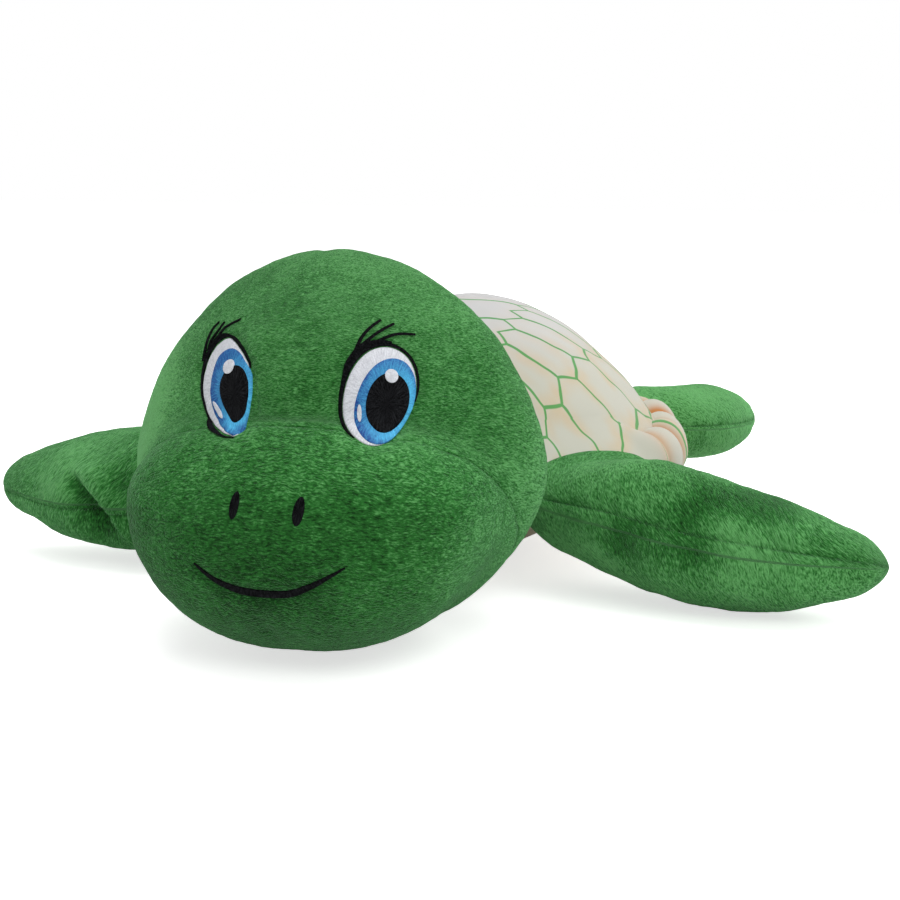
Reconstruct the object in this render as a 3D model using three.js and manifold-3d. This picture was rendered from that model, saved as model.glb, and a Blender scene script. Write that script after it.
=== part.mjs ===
// Plush sea turtle: a sewn soft toy of pile fabric panels over polyester filling.
// Millimetres, +Z up. The turtle lies on its belly and looks along -Y, so +X is its left side.
// The origin is the middle of the belly's flat resting face.

import * as THREE from "three";
import { mergeVertices } from "three/addons/utils/BufferGeometryUtils.js";
import Module from "manifold-3d";

const wasm = await Module();
wasm.setup();

// Fabric, thread and clearances
const FABRIC = 2; // a panel's thickness, backing and pile together
const SEAM_GAP = 0.3; // between two panels that are sewn edge to edge
const FILL_GAP = 0.3; // between a panel and the filling behind it
const THREAD = 0.7; // height of the embroidery
const THREAD_LIFT = 0.6; // from the pile's surface to the underside of the thread
const THREAD_GAP = 0.25; // between two colours of thread
const OVERRUN = 6; // how far a cutter runs past what it cuts
const MERGE_DISTANCE = 1e-4;

// Body: an oval in plan whose rear half is longer, with a gathered rim round it
const BODY_HALF_WIDTH = 80;
const BODY_FRONT_LENGTH = 66;
const BODY_REAR_LENGTH = 82;
const RIM_RADIUS = 10;
const RIM_HEIGHT = 42; // centre of the rim above the floor
const RIM_PUCKER = 1.4; // depth of the gathers
const RIM_GATHERS = 18;
const SHELL_TOP = 105.5;
const DOME_POWER = 1.92;
const DOME_PEAK_Y = 8; // the shell's highest point lies behind the body's middle
const BELLY_FLAT_HALF_WIDTH = 16; // of the face that rests on the floor
const BELLY_REST_Y = 12; // the face lies behind the body's middle
const BELLY_POWER = 0.95;

// Neck: a short stuffed ball between the body and the head
const NECK_RADIUS = 24;
const NECK_CLEARANCE = 0.8; // to the sockets that it turns in
const NECK_BEYOND_BODY = 11; // from the body's front edge to the neck's centre
const NECK_Y = -(BODY_FRONT_LENGTH + NECK_BEYOND_BODY);
const NECK_HEIGHT = 48;
const NECK_OPENING_RADIUS = 15; // where the filling passes through the neck's sleeve
const NECK_TURN_DEG = 1.5; // how far the toy lies turned to its left, at the neck

// Head: a skull, a brow and a muzzle, all rounded forms about the middle of the head
const HEAD_BACK_FROM_NECK = 3; // from the neck's centre to the back of the head
const HEAD_MIDDLE_HEIGHT = 67.2; // above the floor
const HEAD_TURN_DEG = 4.5; // on the neck, to the left as well
const SKULL = {
  halfWidth: 71,
  front: 42,
  back: 53,
  top: 71.8,
  bottom: 59.4,
  y: 7,
  z: -6.8,
  power: 1.84,
};
const BROW = {
  halfWidth: 39,
  front: 32.6,
  back: 32.6,
  top: 29.5,
  bottom: 31.5,
  y: -6,
  z: 21,
  power: 2,
};
const MUZZLE = {
  halfWidth: 57,
  front: 37.5,
  back: 37.5,
  top: 26,
  bottom: 45.4,
  y: -32.4,
  z: -15.8,
  power: 2.17,
};
const HEAD_BLEND = 0.12; // how softly the three meet
// The seam over the muzzle, in the head's middle plane: it falls ever faster towards the back
const MUZZLE_SEAM_Y = -44;
const MUZZLE_SEAM_Z = 9.5;
const MUZZLE_SEAM_REACH = 110; // from its front end towards the back
const MUZZLE_SEAM_FALL = 45; // over its reach, if it ran straight
const MUZZLE_SEAM_SAG = 138; // what its bend adds over its reach
const CROWN_SEAM_Y = 18; // the seam over the crown, between the forehead and the back

// Embroidered eyes: one design, used twice, so that both look to the turtle's left
const EYE_X = 25.7;
const EYE_Z = 22.4;
const EYE_HALF_WIDTH = 13.2;
const EYE_HALF_HEIGHT = 18;
const EYE_TURN_DEG = 31; // the way an eye faces, out from straight ahead
const EYE_TILT_DEG = 12; // and up
const EYE_LEAN_DEG = 24; // the tops of the eyes lean apart
const LASH_WIDTH = 1.5; // at its start
const LASH_TIP_SHARE = 0.4; // of that width
const LASH_SINK = 0.06; // each lash is thinner than the thread it starts from by this on either face

// Embroidered nostrils and mouth
const NOSTRIL_X = 10.4;
const NOSTRIL_Z = -9.2;
const NOSTRIL_HALF_WIDTH = 1.9;
const NOSTRIL_HALF_HEIGHT = 4.4;
const MOUTH_HALF_WIDTH = 24.8;
const MOUTH_END_Z = -28;
const MOUTH_DROP = 7;
const MOUTH_THICKNESS = 2.8;
const MOUTH_END_SHARE = 0.25; // of that thickness

// Flippers: each hangs on a seam that touches the middle line of the rim
const ROOT_CLEARANCE = 0.1; // from the rim's fullest places to a flipper's root
const FRONT_FLIPPER = {
  hingeAngleDeg: -37, // round the oval, from straight sideways
  reach: 100.2, // straight out from the rim
  sweep: 61, // towards the rear, at the tip
  rootDrop: 3.4, // from the hinge down to the middle of the root
  drop: 13.1, // at the tip
  dropPower: 3.2,
  rootHalfWidth: 35,
  halfWidth: 30,
  widestShare: 0.4,
  rootHalfThickness: 25,
  rootTopShare: 0.5, // the root is flattened above by this share
  rootBottomShare: 0.9, // and below
  halfThickness: 24.6,
  thickestShare: 0.38,
  narrowing: 2.56, // how late it narrows
  pointedness: 0.82, // of its tip
};
const REAR_FLIPPER = {
  hingeAngleDeg: 50,
  reach: 64,
  sweep: -6,
  rootDrop: -3,
  drop: -2.5,
  dropPower: 2,
  rootHalfWidth: 16,
  halfWidth: 24,
  widestShare: 0.45,
  rootHalfThickness: 14,
  rootTopShare: 1,
  rootBottomShare: 1,
  halfThickness: 16,
  thickestShare: 0.5,
  narrowing: 2.5,
  pointedness: 0.62,
};
// How each flipper lies: its leading edge rolled up, and the whole of it lifted
const FRONT_LEFT_POSE = { rollDeg: 7.7, liftDeg: -4.7 };
const FRONT_RIGHT_POSE = { rollDeg: -4.5, liftDeg: 0 };
const REAR_POSE = { rollDeg: 0, liftDeg: 0 };
const ROLL_EASE_SHARE = 0.3; // of a flipper's reach, over which the roll comes on
const LINING_POWER = 6; // how late the inside of a flipper closes on its tip
const TIP_LAYERS = 2; // of fabric there, where the seam is turned in

// How finely the forms are divided
const BODY_COLUMNS = 28;
const DOME_STEPS = 5;
const BELLY_STEPS = 3;
const RIM_COLUMNS_PER_GATHER = 4;
const RIM_STEPS = 4;
const HEAD_COLUMNS = 22;
const HEAD_ROWS = 14;
const NECK_COLUMNS = 20;
const NECK_ROWS = 10;
const SLEEVE_STEPS = 6;
const FLIPPER_ROWS = 7;
const FLIPPER_STEPS = 5;
const PATCH_STEPS = 16;
const LASH_STEPS = 5;
const MOUTH_STEPS = 10;
const SEAM_STEPS = 8;
const SURFACE_STEPS = 40; // halvings that find the head's surface on a line
const PROBE_SHARE = 1e-4; // of the head's half-width, over which its slope is taken

const radians = THREE.MathUtils.degToRad;
const lerp = THREE.MathUtils.lerp;
const range = (count, make) => Array.from({ length: count }, (_, i) => make(i));

// Materials
const GREEN = 0x35803c;
const CREAM = 0xe9dcc6;
const material = (color, roughness) =>
  new THREE.MeshStandardMaterial({ color, roughness, metalness: 0 });
const greenPile = material(GREEN, 0.95);
const shellPrint = material(CREAM, 0.9);
const bellyPile = material(0xe6d8bd, 0.95);
const filling = material(0xf4f2ec, 1);
const blackThread = material(0x141516, 0.6);
const whiteThread = material(0xe6e6e8, 0.55);
const blueThread = material(0x1f7cc4, 0.5);

// Solids from grids of points

// A closed mesh as a solid. Points that meet are merged, and faces that vanish with them are dropped.
function solidOf(points, faces) {
  const geometry = new THREE.BufferGeometry().setFromPoints(points);
  geometry.setIndex(faces.flat());
  const merged = mergeVertices(geometry, MERGE_DISTANCE);
  const corners = merged.index.array;
  const kept = [];
  for (let i = 0; i < corners.length; i += 3) {
    const [a, b, c] = corners.slice(i, i + 3);
    if (a !== b && b !== c && c !== a) kept.push(a, b, c);
  }
  const make = (triVerts) =>
    new wasm.Manifold(
      new wasm.Mesh({
        numProp: 3,
        vertProperties: merged.attributes.position.array,
        triVerts: new Uint32Array(triVerts),
      }),
    );
  const solid = make(kept);
  return solid.volume() > 0 ? solid : make(kept.reverse());
}

// Two faces for each cell between row a and row b, which hold as many points.
function band(aStart, bStart, count, closed) {
  const faces = [];
  for (let j = 0; j < (closed ? count : count - 1); j++) {
    const k = (j + 1) % count;
    faces.push([aStart + j, bStart + j, bStart + k], [aStart + j, bStart + k, aStart + k]);
  }
  return faces;
}

// A solid wrapped in rings of points. The first and last rings are single points, or meet each other.
function wrapped(rings, ringsMeet = false) {
  const count = rings[0].length;
  const faces = [];
  for (let i = 0; i < (ringsMeet ? rings.length : rings.length - 1); i++) {
    faces.push(...band(i * count, ((i + 1) % rings.length) * count, count, true));
  }
  return solidOf(rings.flat(), faces);
}

// A sheet with thickness, from two grids of points, rows by columns.
function sheet(outer, inner) {
  const rows = outer.length;
  const columns = outer[0].length;
  const size = rows * columns;
  const faces = [];
  for (let i = 0; i < rows - 1; i++) {
    for (const [a, b, c] of band(i * columns, (i + 1) * columns, columns, false)) {
      faces.push([a, b, c], [size + a, size + c, size + b]);
    }
  }
  const edge = [
    ...range(columns, (j) => j),
    ...range(rows - 1, (i) => (i + 2) * columns - 1),
    ...range(columns - 1, (j) => rows * columns - 2 - j),
    ...range(rows - 2, (i) => (rows - 2 - i) * columns),
  ];
  edge.forEach((a, n) => {
    const b = edge[(n + 1) % edge.length];
    faces.push([a, b, size + b], [a, size + b, size + a]);
  });
  return solidOf([...outer.flat(), ...inner.flat()], faces);
}

function ball(centre, radius, columns, rows) {
  const sphere = new THREE.SphereGeometry(radius, columns, rows);
  sphere.deleteAttribute("normal");
  sphere.deleteAttribute("uv");
  const points = [];
  const position = sphere.attributes.position;
  for (let i = 0; i < position.count; i++) {
    points.push(new THREE.Vector3().fromBufferAttribute(position, i).add(centre));
  }
  const corners = [...sphere.index.array];
  return solidOf(
    points,
    range(corners.length / 3, (i) => corners.slice(3 * i, 3 * i + 3)),
  );
}

// A named mesh from a solid.
function piece(name, solid, look) {
  const mesh = solid.getMesh();
  const geometry = new THREE.BufferGeometry();
  geometry.setAttribute("position", new THREE.BufferAttribute(mesh.vertProperties, 3));
  geometry.setIndex(new THREE.BufferAttribute(mesh.triVerts, 1));
  geometry.computeVertexNormals();
  const made = new THREE.Mesh(geometry, look);
  made.name = name;
  return made;
}

// Body

// A point of the body's oval, at a share of its size, a distance outside that, and moved back.
function ovalPoint(angle, share, outside, z, back = 0) {
  const length = Math.sin(angle) < 0 ? BODY_FRONT_LENGTH : BODY_REAR_LENGTH;
  return new THREE.Vector3(
    (BODY_HALF_WIDTH * share + outside) * Math.cos(angle),
    (length * share + outside) * Math.sin(angle) + back,
    z,
  );
}

// The solid that a profile of [share, outside, z, back] makes round the oval.
function ovalLathe(profile, columns = BODY_COLUMNS, closed = false, depth = () => 1) {
  const rings = profile.map(([share, outside, z, back]) =>
    range(columns, (j) => {
      const angle = (2 * Math.PI * j) / columns;
      return ovalPoint(angle, share, outside * depth(angle), z, back);
    }),
  );
  return wrapped(rings, closed);
}

const domeEdge = RIM_HEIGHT + RIM_RADIUS + SEAM_GAP;
const bellyEdge = RIM_HEIGHT - RIM_RADIUS - SEAM_GAP;
const flatShare = BELLY_FLAT_HALF_WIDTH / BODY_HALF_WIDTH;

// The dome's profile from the middle out to its edge, set in from the outer surface.
function domeProfile(inset) {
  return range(DOME_STEPS + 1, (i) => {
    const share = Math.sqrt(i / DOME_STEPS);
    const rise = SHELL_TOP - domeEdge - inset;
    const z = domeEdge + rise * (1 - share ** DOME_POWER);
    return [share, -inset * share, z, DOME_PEAK_Y * (1 - share ** 2)];
  });
}

// The belly's profile from its edge down to the middle of the flat face.
function bellyProfile(inset) {
  const side = range(BELLY_STEPS + 1, (i) => {
    const share = lerp(1, flatShare, i / BELLY_STEPS);
    const lift = ((share - flatShare) / (1 - flatShare)) ** BELLY_POWER;
    const back = BELLY_REST_Y * (1 - share ** 2);
    return [share, -inset * share, inset + (bellyEdge - inset) * lift, back];
  });
  return [...side, [0, 0, inset, BELLY_REST_Y]];
}

const neckCentre = new THREE.Vector3(0, NECK_Y, NECK_HEIGHT);
const neckSocket = (centre) =>
  ball(centre, NECK_RADIUS + NECK_CLEARANCE, NECK_COLUMNS, NECK_ROWS);

function makeBody() {
  const socket = neckSocket(neckCentre);
  const dome = ovalLathe([...domeProfile(0), ...domeProfile(FABRIC).reverse()]);
  const belly = ovalLathe([
    ...bellyProfile(FABRIC).reverse(),
    ...bellyProfile(0),
  ]);
  const core = ovalLathe([
    ...domeProfile(FABRIC + FILL_GAP),
    ...bellyProfile(FABRIC + FILL_GAP),
  ]);
  const rimSection = [
    [1, -FABRIC, RIM_HEIGHT + RIM_RADIUS],
    ...range(RIM_STEPS + 1, (i) => {
      const turn = Math.PI / 2 - (Math.PI * i) / RIM_STEPS;
      return [1, RIM_RADIUS * Math.cos(turn), RIM_HEIGHT + RIM_RADIUS * Math.sin(turn)];
    }),
    [1, -FABRIC, RIM_HEIGHT - RIM_RADIUS],
  ];
  const gathers = (angle) =>
    1 - (RIM_PUCKER / RIM_RADIUS) * (0.5 - 0.5 * Math.cos(RIM_GATHERS * angle));
  const rim = ovalLathe(
    rimSection,
    RIM_GATHERS * RIM_COLUMNS_PER_GATHER,
    true,
    gathers,
  );
  const group = new THREE.Group();
  group.add(
    piece("shell_dome", dome.subtract(socket), shellPrint),
    piece("shell_gathered_rim", rim.subtract(socket), shellPrint),
    piece("belly_panel", belly.subtract(socket), bellyPile),
    piece("body_filling", core.subtract(socket), filling),
  );
  return group;
}

// Neck

function makeNeck() {
  const reach = Math.sqrt(NECK_RADIUS ** 2 - NECK_OPENING_RADIUS ** 2);
  const ends = Math.asin(reach / NECK_RADIUS);
  const arc = (radius) =>
    range(SLEEVE_STEPS + 1, (i) => {
      const turn = lerp(-ends, ends, i / SLEEVE_STEPS);
      return [radius * Math.cos(turn), radius * Math.sin(turn)];
    });
  const profile = [...arc(NECK_RADIUS), ...arc(NECK_RADIUS - FABRIC).reverse()];
  const rings = profile.map(([radius, along]) =>
    range(NECK_COLUMNS, (j) => {
      const turn = (2 * Math.PI * j) / NECK_COLUMNS;
      return new THREE.Vector3(radius * Math.cos(turn), along, radius * Math.sin(turn));
    }),
  );
  const coreRadius = NECK_RADIUS - FABRIC - NECK_CLEARANCE;
  const core = ball(new THREE.Vector3(), coreRadius, NECK_COLUMNS, NECK_ROWS);
  const group = new THREE.Group();
  group.position.copy(neckCentre);
  group.add(
    piece("neck_sleeve", wrapped(rings, true), greenPile),
    piece("neck_filling", core, filling),
  );
  return group;
}

// Head: all places in this section are from the middle of the head

// How far out a point lies in a rounded form, as a share of the form's size.
function formShare(p, form) {
  const x = p.x / form.halfWidth;
  const y = (p.y - form.y) / (p.y < form.y ? form.front : form.back);
  const z = (p.z - form.z) / (p.z < form.z ? form.bottom : form.top);
  const sum =
    Math.abs(x) ** form.power + Math.abs(y) ** form.power + Math.abs(z) ** form.power;
  return sum ** (1 / form.power);
}

// Below 1 inside the head, and above 1 outside it.
function headShare(p) {
  const shares = [SKULL, BROW, MUZZLE].map((form) => formShare(p, form));
  const least = Math.min(...shares);
  const sum = shares.reduce(
    (total, share) => total + Math.exp((least - share) / HEAD_BLEND),
    0,
  );
  return least - HEAD_BLEND * Math.log(sum);
}

const PROBE = SKULL.halfWidth * PROBE_SHARE;
function headNormal(p) {
  const slope = (axis) =>
    headShare(p.clone().addScaledVector(axis, PROBE)) -
    headShare(p.clone().addScaledVector(axis, -PROBE));
  return new THREE.Vector3(
    slope(new THREE.Vector3(1, 0, 0)),
    slope(new THREE.Vector3(0, 1, 0)),
    slope(new THREE.Vector3(0, 0, 1)),
  ).normalize();
}

// Where the line from an inner point along a direction leaves the head.
function headSurface(from, direction) {
  let near = 0;
  let far = 2 * SKULL.halfWidth;
  for (let i = 0; i < SURFACE_STEPS; i++) {
    const middle = (near + far) / 2;
    if (headShare(from.clone().addScaledVector(direction, middle)) < 1) near = middle;
    else far = middle;
  }
  return from.clone().addScaledVector(direction, near);
}

function headForm(inset) {
  const rings = range(HEAD_ROWS + 1, (i) => {
    const polar = (Math.PI * i) / HEAD_ROWS;
    return range(HEAD_COLUMNS, (j) => {
      const turn = (2 * Math.PI * j) / HEAD_COLUMNS;
      const across = i % HEAD_ROWS ? Math.sin(polar) : 0;
      const way = new THREE.Vector3(
        across * Math.cos(turn),
        across * Math.sin(turn),
        Math.cos(polar),
      );
      const surface = headSurface(new THREE.Vector3(), way);
      return surface.addScaledVector(headNormal(surface), -inset);
    });
  });
  return wrapped(rings);
}

// The region under the seam that runs over the muzzle, moved up by a distance.
function underMuzzleSeam(lift) {
  const front = MUZZLE.y - MUZZLE.front - OVERRUN;
  const bottom = MUZZLE_SEAM_Z - MUZZLE_SEAM_FALL - MUZZLE_SEAM_SAG + lift;
  const shape = new THREE.Shape();
  shape.moveTo(front, bottom);
  shape.lineTo(front, MUZZLE_SEAM_Z + lift);
  range(SEAM_STEPS + 1, (i) => {
    const share = i / SEAM_STEPS;
    const fall = MUZZLE_SEAM_FALL * share + MUZZLE_SEAM_SAG * share ** 2;
    shape.lineTo(MUZZLE_SEAM_Y + MUZZLE_SEAM_REACH * share, MUZZLE_SEAM_Z - fall + lift);
  });
  const depth = 2 * (SKULL.halfWidth + OVERRUN);
  const block = new THREE.ExtrudeGeometry(shape, { depth, bevelEnabled: false });
  block.translate(0, 0, -depth / 2);
  // The outline's own axes are the head's Y and Z, and the extrusion runs along X.
  const position = block.attributes.position;
  const points = range(
    position.count,
    (i) => new THREE.Vector3(position.getZ(i), position.getX(i), position.getY(i)),
  );
  return solidOf(
    points,
    range(position.count / 3, (i) => [3 * i, 3 * i + 1, 3 * i + 2]),
  );
}

// A place for embroidery: where it lies, which way it faces, and its own left and up.
function threadFrame(x, z, turnDeg, tiltDeg) {
  const turn = radians(turnDeg);
  const tilt = radians(tiltDeg);
  const out = new THREE.Vector3(
    Math.sin(turn) * Math.cos(tilt),
    -Math.cos(turn) * Math.cos(tilt),
    Math.sin(tilt),
  );
  const across = new THREE.Vector3(Math.cos(turn), Math.sin(turn), 0);
  const up = out.clone().cross(across);
  const centre = headSurface(new THREE.Vector3(x, 0, z), new THREE.Vector3(0, -1, 0));
  return { centre, out, across, up };
}

// The same place with its up leaning towards its left.
function leaned({ centre, out, across, up }, leanDeg) {
  const lean = radians(-leanDeg);
  return {
    centre,
    out,
    across: across.clone().applyAxisAngle(out, lean),
    up: up.clone().applyAxisAngle(out, lean),
  };
}

// A point of the embroidery, a height above the pile: the thread is seen from outside, so the
// line runs in from there until it meets the head.
const pileForm = piece("pile", headForm(0), greenPile);
const line = new THREE.Raycaster();
function threadPoint(frame, u, v, height) {
  const outside = frame.centre
    .clone()
    .addScaledVector(frame.across, u)
    .addScaledVector(frame.up, v)
    .addScaledVector(frame.out, SKULL.halfWidth);
  line.set(outside, frame.out.clone().negate());
  const [met] = line.intersectObject(pileForm);
  return met.point.clone().addScaledVector(frame.out, height);
}

// A filled ellipse of thread, from one height above the pile to another.
function threadDisc(frame, { u, v, halfWidth, halfHeight }, low, high) {
  const ring = (share, height) =>
    range(PATCH_STEPS, (j) => {
      const turn = (2 * Math.PI * j) / PATCH_STEPS;
      return threadPoint(
        frame,
        u + share * halfWidth * Math.cos(turn),
        v + share * halfHeight * Math.sin(turn),
        height,
      );
    });
  return wrapped([
    ring(0, low),
    ring(0.5, low),
    ring(1, low),
    ring(1, high),
    ring(0.5, high),
    ring(0, high),
  ]);
}

// A stroke of thread along a curve, as wide as width says, and thinner by sink on either face.
function threadStroke(frame, curve, width, steps, sink = 0) {
  const grid = (height) =>
    range(steps + 1, (i) => {
      const share = i / steps;
      const at = curve.getPoint(share);
      const way = curve.getTangent(share);
      return [-0.5, 0.5].map((side) =>
        threadPoint(
          frame,
          at.x - way.y * side * width(share),
          at.y + way.x * side * width(share),
          height,
        ),
      );
    });
  return sheet(grid(threadHigh - sink), grid(threadLow + sink));
}

const threadLow = THREAD_LIFT;
const threadHigh = THREAD_LIFT + THREAD;
const raised = (frame, oval) => threadDisc(frame, oval, threadLow, threadHigh);
// Where the head's faces meet at an edge, the thread stays this far off it.
const pileEdges = headForm(-THREAD_GAP);
const thread = (name, solid, look) => piece(name, solid.subtract(pileEdges), look);
// A slightly larger copy, tall enough to pass right through the eye where the pile bends.
const room = (frame, oval) =>
  threadDisc(
    frame,
    {
      ...oval,
      halfWidth: oval.halfWidth + THREAD_GAP,
      halfHeight: oval.halfHeight + THREAD_GAP,
    },
    threadLow - EYE_HALF_HEIGHT,
    threadHigh + EYE_HALF_HEIGHT,
  );

// An oval of the eye, in shares of the eye's half-width and half-height.
const eyeOval = (uShare, vShare, widthShare, heightShare) => ({
  u: uShare * EYE_HALF_WIDTH,
  v: vShare * EYE_HALF_HEIGHT,
  halfWidth: widthShare * EYE_HALF_WIDTH,
  halfHeight: heightShare * EYE_HALF_HEIGHT,
});
const EYE_SHARES = {
  outline: eyeOval(0, 0, 1.02, 1.03),
  white: eyeOval(0.01, 0, 0.9, 0.92),
  iris: eyeOval(0.15, -0.08, 0.74, 0.84),
  pupil: eyeOval(0.24, -0.12, 0.54, 0.55),
  largeGlint: eyeOval(0.2, 0.36, 0.18, 0.135),
  smallGlint: eyeOval(-0.43, -0.32, 0.06, 0.16),
};
// Start, bend and end of each lash, in the same shares
const LASH_SHARES = [
  [-0.86, 0.35, -0.82, 0.98, -0.39, 1.27],
  [-0.77, 0.56, -0.55, 0.95, -0.07, 1.27],
  [-0.56, 0.76, -0.22, 1.06, 0.5, 1.2],
];

function makeEye(side, name) {
  const upright = threadFrame(side * EYE_X, EYE_Z, side * EYE_TURN_DEG, EYE_TILT_DEG);
  const frame = leaned(upright, side * EYE_LEAN_DEG);
  const oval = EYE_SHARES;
  const lashes = LASH_SHARES.map((shares, n) => {
    const [a, b, c] = range(
      3,
      (i) =>
        new THREE.Vector2(
          shares[2 * i] * EYE_HALF_WIDTH,
          shares[2 * i + 1] * EYE_HALF_HEIGHT,
        ),
    );
    const taper = (share) => LASH_WIDTH * lerp(1, LASH_TIP_SHARE, share);
    const curve = new THREE.QuadraticBezierCurve(a, b, c);
    return threadStroke(frame, curve, taper, LASH_STEPS, LASH_SINK * (n + 1));
  });
  const outline = wasm.Manifold.union([raised(frame, oval.outline), ...lashes])
    .subtract(room(frame, oval.white))
    .subtract(room(frame, oval.iris));
  const white = raised(frame, oval.white)
    .subtract(room(frame, oval.iris));
  const iris = raised(frame, oval.iris)
    .subtract(room(frame, oval.pupil))
    .subtract(room(frame, oval.largeGlint))
    .subtract(room(frame, oval.smallGlint));
  const pupil = raised(frame, oval.pupil).subtract(room(frame, oval.largeGlint));
  return [
    thread(`${name}_eye_outline`, outline, blackThread),
    thread(`${name}_eye_white`, white, whiteThread),
    thread(`${name}_eye_iris`, iris, blueThread),
    thread(`${name}_eye_pupil`, pupil, blackThread),
    thread(`${name}_eye_large_glint`, raised(frame, oval.largeGlint), whiteThread),
    thread(`${name}_eye_small_glint`, raised(frame, oval.smallGlint), whiteThread),
  ];
}

function makeNostril(side, name) {
  const frame = threadFrame(side * NOSTRIL_X, NOSTRIL_Z, 0, 0);
  const oval = { u: 0, v: 0, halfWidth: NOSTRIL_HALF_WIDTH, halfHeight: NOSTRIL_HALF_HEIGHT };
  return thread(`${name}_nostril`, raised(frame, oval), blackThread);
}

function makeMouth() {
  const frame = threadFrame(0, MOUTH_END_Z, 0, 0);
  const curve = new THREE.QuadraticBezierCurve(
    new THREE.Vector2(-MOUTH_HALF_WIDTH, 0),
    new THREE.Vector2(0, -2 * MOUTH_DROP),
    new THREE.Vector2(MOUTH_HALF_WIDTH, 0),
  );
  const width = (share) =>
    MOUTH_THICKNESS * lerp(MOUTH_END_SHARE, 1, Math.sin(Math.PI * share));
  return thread("mouth", threadStroke(frame, curve, width, MOUTH_STEPS), blackThread);
}

const headFromNeck = new THREE.Vector3(
  0,
  -(SKULL.back + SKULL.y + HEAD_BACK_FROM_NECK),
  HEAD_MIDDLE_HEIGHT - NECK_HEIGHT,
);

function makeHead() {
  const upright = new THREE.Vector3(0, 0, 1);
  const neckFromHead = headFromNeck.clone().negate();
  neckFromHead.applyAxisAngle(upright, -radians(HEAD_TURN_DEG));
  const socket = neckSocket(neckFromHead);
  const aboveFloor = (solid, lift) =>
    solid.trimByPlane(upright.toArray(), lift - HEAD_MIDDLE_HEIGHT);
  const hollow = aboveFloor(headForm(FABRIC), FABRIC);
  const skin = aboveFloor(headForm(0), 0).subtract(hollow).subtract(socket);
  const muzzle = skin.intersect(underMuzzleSeam(-SEAM_GAP / 2));
  const upper = skin.subtract(underMuzzleSeam(SEAM_GAP / 2));
  const forehead = upper.trimByPlane([0, -1, 0], SEAM_GAP / 2 - CROWN_SEAM_Y);
  const back = upper.trimByPlane([0, 1, 0], SEAM_GAP / 2 + CROWN_SEAM_Y);
  const fillInset = FABRIC + FILL_GAP;
  const core = aboveFloor(headForm(fillInset), fillInset).subtract(socket);
  const head = new THREE.Group();
  head.position.copy(headFromNeck);
  head.rotation.z = radians(HEAD_TURN_DEG);
  head.add(
    piece("head_forehead_panel", forehead, greenPile),
    piece("head_back_panel", back, greenPile),
    piece("head_muzzle_panel", muzzle, greenPile),
    piece("head_filling", core, filling),
    ...makeEye(1, "left"),
    ...makeEye(-1, "right"),
    makeNostril(1, "left"),
    makeNostril(-1, "right"),
    makeMouth(),
  );
  const turned = new THREE.Group();
  turned.position.copy(neckCentre);
  turned.rotation.z = radians(NECK_TURN_DEG);
  turned.add(head);
  return turned;
}

// Flippers: local X runs straight out from the rim, Y along it to the rear, and Z up,
// from the middle of the hinge line

const rootDistance = RIM_RADIUS + ROOT_CLEARANCE;

// From 0 at the root to 1 where the flipper is greatest
function swell(greatestShare, share) {
  const rise = Math.min(share / greatestShare, 1);
  return rise * rise * (3 - 2 * rise);
}

// A size that swells from the root to its greatest at a share, and closes at the tip.
function leaf(f, root, greatest, greatestShare, share) {
  const past = Math.max((share - greatestShare) / (1 - greatestShare), 0);
  const size = lerp(root, greatest, swell(greatestShare, share));
  return size * (1 - past ** f.narrowing) ** f.pointedness;
}

// A point on a flipper, at a share of its reach and a turn round its section, set in by a distance.
function flipperPoint(f, pose, share, turn, inset) {
  const setIn = inset * Math.sqrt(1 - share ** LINING_POWER);
  const halfWidth = leaf(f, f.rootHalfWidth, f.halfWidth, f.widestShare, share) - setIn;
  const rootShare = Math.sin(turn) > 0 ? f.rootTopShare : f.rootBottomShare;
  const rootThickness = f.rootHalfThickness * rootShare;
  const halfThickness =
    leaf(f, rootThickness, f.halfThickness, f.thickestShare, share) - setIn;
  const reach = (f.reach - TIP_LAYERS * inset) * share;
  const reached = reach / f.reach;
  const slope = Math.atan2(2 * f.sweep * reached, f.reach);
  const across = halfWidth * Math.cos(turn);
  const roll = radians(pose.rollDeg) * Math.min(share / ROLL_EASE_SHARE, 1);
  return new THREE.Vector3(
    reach - across * Math.sin(slope),
    f.sweep * reached ** 2 + across * Math.cos(slope),
    reach * Math.tan(radians(pose.liftDeg)) -
      lerp(f.drop, f.rootDrop, (1 - reached) ** f.dropPower) -
      across * Math.tan(roll) +
      halfThickness * Math.sin(turn),
  );
}

function flipperGrid(f, pose, inset, turns) {
  const rootShare = rootDistance / (f.reach - TIP_LAYERS * inset);
  return range(FLIPPER_ROWS + 1, (i) => {
    const share = lerp(rootShare, 1, Math.sin(((Math.PI / 2) * i) / FLIPPER_ROWS));
    return turns.map((turn) => flipperPoint(f, pose, share, turn, inset));
  });
}

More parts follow.
